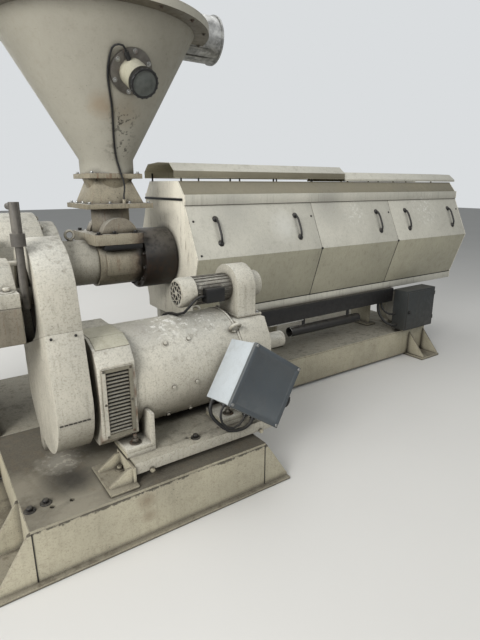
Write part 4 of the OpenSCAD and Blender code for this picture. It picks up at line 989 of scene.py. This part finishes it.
class EXTRUDER_OT_conduit_box(bpy.types.Operator):
    """Builds the tilted conduit box: pale body, slate cover with four screws, and its glands"""
    bl_idname = "extruder.conduit_box"
    bl_label = "Conduit box"

    def execute(self, context):
        side, deep = 318, 210
        half, front = side / 2, -deep / 2
        tilt = Euler((math.radians(-8), 0, math.radians(-4)), "XYZ").to_matrix().to_4x4()
        place = at(241, -1239, 599) @ turn(math.radians(35), "Y") @ tilt

        body = [block((-half + 4, front + 26, -half + 4), (half - 4, -front, half - 4), 3),
                block((-half + 1, front + 20, -half + 1), (half - 1, front + 30, half - 1), 2)]
        # glands where the loops enter its lower face, and a ribbed connector on its side
        gland = turned([(0, 8), (11, 8), (12, 5), (15, 4), (15, -6), (0, -6)], steps=24)
        fittings = repeated(gland, [at(x, y, -half) @ turn(math.pi, "X")
                                    for x, y in ((-130, 80), (122, 52), (-85, 39), (58, 39))])
        connector = (half, -50, -18)
        fittings.append(turned([(0, 36), (24, 36), (26, 33), (26, 30), (38, 28), (38, 6), (42, 5),
                                (42, -6), (0, -6)], connector, TO_DISCHARGE, 40))
        ribs = 20
        rib = block((-1.6, 36, 7), (1.6, 42, 27), 1, 1)
        fittings += repeated(rib, [at(*connector) @ turn(math.pi / 2, "Y")
                                   @ turn(math.tau * k / ribs, "Z") for k in range(ribs)])
        # pressed cover: a flat tray, its face inset and set back 3 mm
        tray = 20
        cover = start("cube", size=1, location=(0, (front + 1 + tray / 2) * MM, 0),
                      scale=(side * MM, tray * MM, side * MM))
        bpy.ops.object.mode_set(mode="EDIT")
        bpy.ops.mesh.select_all(action="DESELECT")
        bpy.ops.object.mode_set(mode="OBJECT")
        for face in cover.data.polygons:
            face.select = face.normal.y < -0.9
        bpy.ops.object.mode_set(mode="EDIT")
        bpy.ops.mesh.inset(thickness=22 * MM)
        bpy.ops.mesh.inset(thickness=4 * MM, depth=-3 * MM)
        bpy.ops.object.mode_set(mode="OBJECT")
        rounded(cover, 3 * MM, 3, 40)
        corner = half - 12
        screws = repeated(socket_screw(8), [standing((x, front + 1, z), TO_FRONT)
                                            for x in (-corner, corner) for z in (-corner, corner)])
        for piece in body + fittings + [cover] + screws:
            piece.data.transform(place)
        # the body in pale grey as painted light, the cover in its own slate grey
        keep(body, "conduit_box_body", "pale_powder_coat_painted_light", "conduit_box")
        keep(fittings, "conduit_box_fittings", "black_nylon")
        keep([cover], "conduit_box_cover", "slate_powder_coat")
        keep(screws, "conduit_box_screws", "plated_steel")
        return {"FINISHED"}


class EXTRUDER_OT_drive(bpy.types.Operator):
    """Dresses the belt guard, gearbox and thrust unit with their bolts"""
    bl_idname = "extruder.drive"
    bl_label = "Drive"

    def execute(self, context):
        cast = sizes().casting_edge
        for node in ("belt_guard_upper", "belt_guard_lower"):
            dressed(node, "machine_enamel", sizes().edge)
        for node in ("motor_sheave", "gearbox_sheave"):
            dressed(node, "scorched_iron")
        dressed("drive_belts", "black_rubber")
        dressed("gearbox_case", "darkened_brown_grey_enamel", cast)
        for node in ("gearbox_cover", "thrust_bearing_housing", "thrust_cylinder"):
            dressed(node, "machine_enamel", cast)
        dressed("oil_line", "dusty_iron")

        # bolts on the seam between the guard's halves, and clips along its lower seam
        low, high = extent("belt_guard_lower")
        spots = [((x, -1068, 940), (0, -0.97, 0.25)) for x in (low.x + 20, high.x - 34)]
        bolts("guard_seam_bolts", 6, spots, 9, "black_iron")
        first, last, pitch = int(low.x) + 6, int(high.x) - 14, 19
        clip = block((first, -1110.6, 570.5), (first + 15, -1103, 573.5), 0.6, 1)
        clips = repeated(clip, [at(along, 0, 0) for along in range(0, last - first, pitch)])
        keep(clips, "guard_seam_clips", "black_iron")

        # two rings of bolts on the thrust unit's face towards the barrel, the outer one set back
        low, high = extent("thrust_bearing_housing")
        mid_z = (low.z + high.z) / 2
        spots = [((high.x - 100, y, mid_z + z), TO_DISCHARGE) for y, z in around(16, 288)]
        spots += [((high.x, y, mid_z + z), TO_DISCHARGE) for y, z in around(10, 205, 0)]
        bolts("thrust_bolts", sizes().frame_bolt / MM, spots, 10, "machine_enamel")

        # bolts of the flange round the gearbox where its halves meet
        flange_y, flange_z = extent("gearbox_case")[0].y + 34, mid_z + 60
        spots = [((x, flange_y, flange_z), UP) for x in (-1290, -1180, -1070, -960, -850, -760)]
        bolts("gearbox_flange_bolts", 26, spots, 11, "machine_enamel")
        return {"FINISHED"}


class EXTRUDER_OT_feed(bpy.types.Operator):
    """Dresses the feed section, hopper, level sensor and vent spout with their bolts"""
    bl_idname = "extruder.feed"
    bl_label = "Feed and hopper"

    def execute(self, context):
        edge = sizes().edge
        dressed("feed_section", "scorched_enamel", edge)
        dressed("feed_throat", "darkened_brown_grey_enamel", edge)
        dressed("barrel_flange", "scorched_iron", sizes().casting_edge)
        dressed("hopper_transition", "baked_enamel", edge)
        # the cone's sheet, 6 mm thick, on a straight neck
        low, high = extent("hopper_cone")
        neck_radius, neck_top, top_radius, sheet = 160, 1680, 553, 6
        cone = turned([(neck_radius, low.z), (neck_radius, neck_top), (top_radius, high.z),
                       (top_radius - sheet, high.z), (neck_radius - sheet, neck_top + 3),
                       (neck_radius - sheet, low.z), (neck_radius, low.z)], (HOPPER_X, 0, 0), steps=96)
        keep([cone], "hopper_cone_finished", "hopper_enamel", "hopper_cone")
        # faces of the rim and lid that look down take the dark enamel as painted shade
        for node in ("hopper_rim", "hopper_lid"):
            dressed(node, "hopper_enamel", None,
                    lambda centre, normal: "rim_shade_enamel" if normal.z < -0.9 else None)
        dressed("vent_spout", "galvanised_sheet")

        # the level sensor stands square on the cone, 4 degrees round from the front
        lean = math.atan((top_radius - neck_radius) / (HOPPER_RIM_Z - neck_top))
        sensor_z, sensor_y = 2103, -402.7
        sensor = (at(HOPPER_X, 0, 0) @ turn(math.radians(4), "Z") @ at(0, sensor_y, sensor_z)
                  @ turn(math.pi / 2 + lean, "X"))
        to_sensor = sensor.inverted()

        def sensor_finish(centre, normal):
            across, over, out = (to_sensor @ (centre * MM)) / MM
            if out < 8.5:
                return "tarnished_steel"
            return "black_nylon" if out > 127 or math.hypot(across, over) > 73 else None

        dressed("level_sensor", "cover_enamel_low_shaded", edge * 0.5, sensor_finish)
        # the switch's end: a ring of lugs round a sunk cover with its nut
        ring = [turned([(62, 158), (64, 164), (72, 164), (74, 161), (74, 157), (62, 157)], steps=48)]
        lugs = 18
        lug = block((-5, 66, 134), (5, 75.5, 165), 1.5, 1)
        ring += repeated(lug, [turn(math.tau * k / lugs, "Z") for k in range(lugs)])
        cover = [turned([(0, 161), (40, 161), (43, 159), (63, 159), (63, 157), (0, 157)], steps=48)]
        studs = copies(hex_bolt(13), [((x, y, 8), UP) for y, x in around(6, 100)], 21)
        for piece in ring + cover + studs:
            piece.data.transform(sensor)
        keep(ring, "level_sensor_ring", "black_nylon")
        keep(cover, "level_sensor_cover", "cast_cover")
        keep(studs, "level_sensor_studs", "plated_steel")

        low, high = extent("hopper_transition")
        mid_x = (low.x + high.x) / 2
        # four bolts along each side of the lower and upper plates: half the width they span, and height
        spots = []
        for half, z in ((182, 1426), (140, 1598)):
            for i in range(4):
                for s in (-1, 1):
                    t = -half + i * half * 2 / 3
                    spots.append(((mid_x + t, s * half, z), UP))
                    if 0 < i < 3:
                        spots.append(((mid_x + s * half, t, z), UP))
        bolts("hopper_plate_bolts", 16, spots, 12, "plated_steel")
        # a ring of bolts in the barrel's flange, and one under the hopper's rim
        face = extent("barrel_flange")[0].x
        spots = [((face, y, SCREW_Z + z), TO_DRIVE) for y, z in around(12, 172)]
        bolts("barrel_flange_bolts", 20, spots, 13, "scorched_iron")
        spots = [((mid_x + x, y, HOPPER_RIM_Z), DOWN) for x, y in around(16, 610)]
        bolts("hopper_rim_bolts", 13, spots, 14, "oiled_steel")

        low, high = extent("feed_section")
        spots = [((x, s * 185, 1250), UP) for x in (low.x + 34, -30, high.x - 60) for s in (-1, 1)]
        bolts("feed_flange_bolts", 22, spots, 15, "black_iron")
        # a black strip under the feed flange, as painted shade
        shade_strip = block((-104, -211, 1156), (138, -150, 1187.5), 6)
        keep([shade_strip], "feed_flange_shade_strip", "black_rubber")
        return {"FINISHED"}


def pull_handle():
    """A bowed round grip between two feet, 168 mm long along Y, standing on the origin."""
    foot = turned([(0, 13), (9, 13), (13, 9), (19, 6), (21, 3), (21, 0), (0, 0)], steps=20)
    feet = copies(foot, [((0, y, 0), UP) for y in (-82, 82)])
    bpy.ops.curve.primitive_bezier_curve_add()
    curve = bpy.context.object
    spline = curve.data.splines[0]
    spline.bezier_points.add(1)
    bends = (((-84, 6), (12, 22)), ((0, 29), (34, 0)), ((84, 6), (12, -22)))
    for point, ((y, z), (dy, dz)) in zip(spline.bezier_points, bends):
        point.co = Vector((0, y, z)) * MM
        point.handle_left_type = point.handle_right_type = "FREE"
        point.handle_left = Vector((0, y - dy, z - dz)) * MM
        point.handle_right = Vector((0, y + dy, z + dz)) * MM
    curve.location = (0, 0, 0)
    curve.data.dimensions = "3D"
    curve.data.bevel_depth = 7.2 * MM
    curve.data.use_fill_caps = True
    pick(curve)
    bpy.ops.object.convert(target="MESH")
    grip = joined([bpy.context.object] + feet)
    bpy.ops.object.shade_smooth_by_angle(angle=math.radians(40))
    return grip


class EXTRUDER_OT_guard(bpy.types.Operator):
    """Dresses the barrel guard: covers, neck, hoods, posts, handles and latches"""
    bl_idname = "extruder.guard"
    bl_label = "Barrel guard"

    def execute(self, context):
        edge = sizes().edge
        sheet_edge = edge * 0.6

        def neck_finish(centre, normal):
            # the neck's upright faces take the yellowed enamel, darkened as painted shade
            return "yellowed_shaded_enamel" if normal.z < 0.95 else None

        def hood_finish(centre, normal):
            # inner faces take the lining painted pale as painted light; the first hood's upright sides
            # take the yellowed enamel, darkened as painted shade
            if normal.z < -0.1 or centre.y * normal.y < -100:
                return "hood_lining_painted_light"
            return "yellowed_shaded_enamel" if normal.z < 0.1 and centre.x < HOOD_SPLIT else None

        def cover_finish(centre, normal):
            # lower leaves below the fold take the yellower enamel, darkened as painted shade
            return "cover_enamel_low_shaded" if centre.z < FOLD[1] - 1 and normal.z < 0.05 else None

        # end plates in the enamel made lighter as painted light
        dressed("guard_end_plates", "stained_enamel_painted_light", sheet_edge)
        dressed("guard_frame", "cover_enamel", sheet_edge)
        dressed("guard_neck", "cover_enamel", sheet_edge, neck_finish)
        dressed("guard_hoods", "cover_enamel", sheet_edge, hood_finish)
        for node in ("front_covers", "rear_covers"):
            dressed(node, "cover_enamel", sheet_edge, cover_finish)
        dressed("guard_hood_posts", "black_iron")
        for node in ("barrel", "discharge_adapter"):
            dressed(node, "scorched_iron", edge)
        dressed("barrel_supports", "base_enamel", edge)

        # handles halfway up the sloped leaves, their length running up the slope
        slope = math.atan2(FOLD[0] - SHOULDER[0], SHOULDER[1] - FOLD[1])
        mid_y, mid_z = (FOLD[0] + SHOULDER[0]) / 2, (FOLD[1] + SHOULDER[1]) / 2
        for side, node in ((-1, "front_handles"), (1, "rear_handles")):
            grips = repeated(pull_handle(), [
                at(x, side * mid_y, mid_z) @ turn(-side * (math.pi / 2 - slope), "X") for x in HANDLE_XS])
            keep(grips, node + "_finished", "black_iron", node)

        # screws in the sloped leaves: x, and how far up from the middle as a share of half the leaf
        spots = []
        for side in (-1, 1):
            for x, share in ((427, 0.4), (427, -0.86), (1420, 0.4), (2300, 0.4), (3290, 0.4)):
                y = mid_y - share * (FOLD[0] - SHOULDER[0]) / 2
                z = mid_z + share * (SHOULDER[1] - FOLD[1]) / 2
                spots.append(((x, side * y, z), (0, side * math.cos(slope), math.sin(slope))))
        keep(copies(socket_screw(7.5), spots, 16), "cover_screws", "black_iron")
        # latches at the fold, on the seams between the covers
        latches = repeated(block((-9, -2, -7), (9, 2, 7), 1), [
            at(x, side * FOLD[0], FOLD[1]) for side in (-1, 1) for x in COVER_SEAMS])
        keep(latches, "cover_latches", "black_iron")
        # dark joints between the lower leaves and along their lower edge
        joints = []
        for side in (-1, 1):
            joint = rod((0, side * (FOLD[0] - 1.5), FOLD[1] - 1), (0, side * (SEAM[0] - 1.5), SEAM[1] + 1),
                        3.2, 0, 8)
            joints += repeated(joint, [at(x, 0, 0) for x in COVER_SEAMS])
            near, far = sorted((side * (SEAM[0] - 6), side * (SEAM[0] + 1.5)))
            joints.append(block((399, near, SEAM[1] - 6), (3322, far, SEAM[1] + 0.5), 0.5, 1))
        keep(joints, "cover_joints", "black_rubber")
        # a black strip as painted shade in the gap between the neck and the covers
        gap = block((410, 1 - SHOULDER[0], SHOULDER[1]), (1820, 9 - SHOULDER[0], SHOULDER[1] + 6), 1)
        keep([gap], "neck_gap_shade_strip", "black_rubber")
        # rubber strip across the near end plate
        strip = block((GUARD_START - 8, -268, 1438), (GUARD_START + 0.5, 290, 1452), 2)
        keep([strip], "end_plate_strip", "black_rubber")
        return {"FINISHED"}


class EXTRUDER_OT_services(bpy.types.Operator):
    """Dresses the wireway, barrel blower and terminal box under the guard"""
    bl_idname = "extruder.services"
    bl_label = "Services"

    def execute(self, context):
        edge = sizes().edge

        def wireway_finish(centre, normal):
            pipe = centre.x < 1391 and abs(centre.y + 320) < 14 and centre.z < 531
            return "white_pipe" if pipe else None

        dressed("cable_wireway", "black_iron", edge, wireway_finish)
        dressed("barrel_blower", "machine_enamel", edge)
        dressed("terminal_box", "charcoal_paint", edge)
        # the terminal box's door, with two hinges and a round latch
        low, high = extent("terminal_box")
        door = [block((low.x + 12, low.y - 7, low.z + 44), (low.x + 388, low.y + 2, high.z - 12), 3)]
        hinge = rod((low.x + 390, low.y - 5, 0), (low.x + 390, low.y - 5, 34), 6, 1, 16)
        door += repeated(hinge, [at(0, 0, z) for z in (low.z + 90, high.z - 70)])
        keep(door, "terminal_box_door", "charcoal_paint")
        latch = turned([(0, 16), (11, 16), (13, 13), (13, 4), (18, 3), (18, 0), (0, 0)],
                       (low.x + 40, low.y - 7, (low.z + high.z) / 2), TO_FRONT, 20)
        keep([latch], "terminal_box_latch", "black_nylon")
        return {"FINISHED"}


CLASSES = (ExtruderSizes, ExtruderColours, EXTRUDER_OT_camera, EXTRUDER_OT_stage,
           EXTRUDER_OT_materials, EXTRUDER_OT_cables, EXTRUDER_OT_base, EXTRUDER_OT_motor,
           EXTRUDER_OT_blower, EXTRUDER_OT_conduit_box, EXTRUDER_OT_drive, EXTRUDER_OT_feed,
           EXTRUDER_OT_guard, EXTRUDER_OT_services)


class EXTRUDER_PT_panel(bpy.types.Panel):
    """Lists the extruder's steps in the sidebar"""
    bl_idname = "EXTRUDER_PT_panel"
    bl_label = "Plastic extruder"
    bl_space_type = "VIEW_3D"
    bl_region_type = "UI"
    bl_category = "Extruder"

    def draw(self, context):
        for group in (context.scene.extruder_sizes, context.scene.extruder_colours):
            for name in group.__annotations__:
                self.layout.prop(group, name)
        for kind in CLASSES[2:]:
            self.layout.operator(kind.bl_idname)


def register():
    for kind in CLASSES + (EXTRUDER_PT_panel,):
        bpy.utils.register_class(kind)
    bpy.types.Scene.extruder_sizes = bpy.props.PointerProperty(type=ExtruderSizes)
    bpy.types.Scene.extruder_colours = bpy.props.PointerProperty(type=ExtruderColours)


def unregister():
    del bpy.types.Scene.extruder_sizes
    del bpy.types.Scene.extruder_colours
    for kind in reversed(CLASSES + (EXTRUDER_PT_panel,)):
        bpy.utils.unregister_class(kind)


def main():
    register()
    for step in ("camera", "stage", "materials", "cables", "base", "motor", "blower", "conduit_box",
                 "drive", "feed", "guard", "services"):
        getattr(bpy.ops.extruder, step)()
    deselect()


if __name__ == "__main__":
    main()
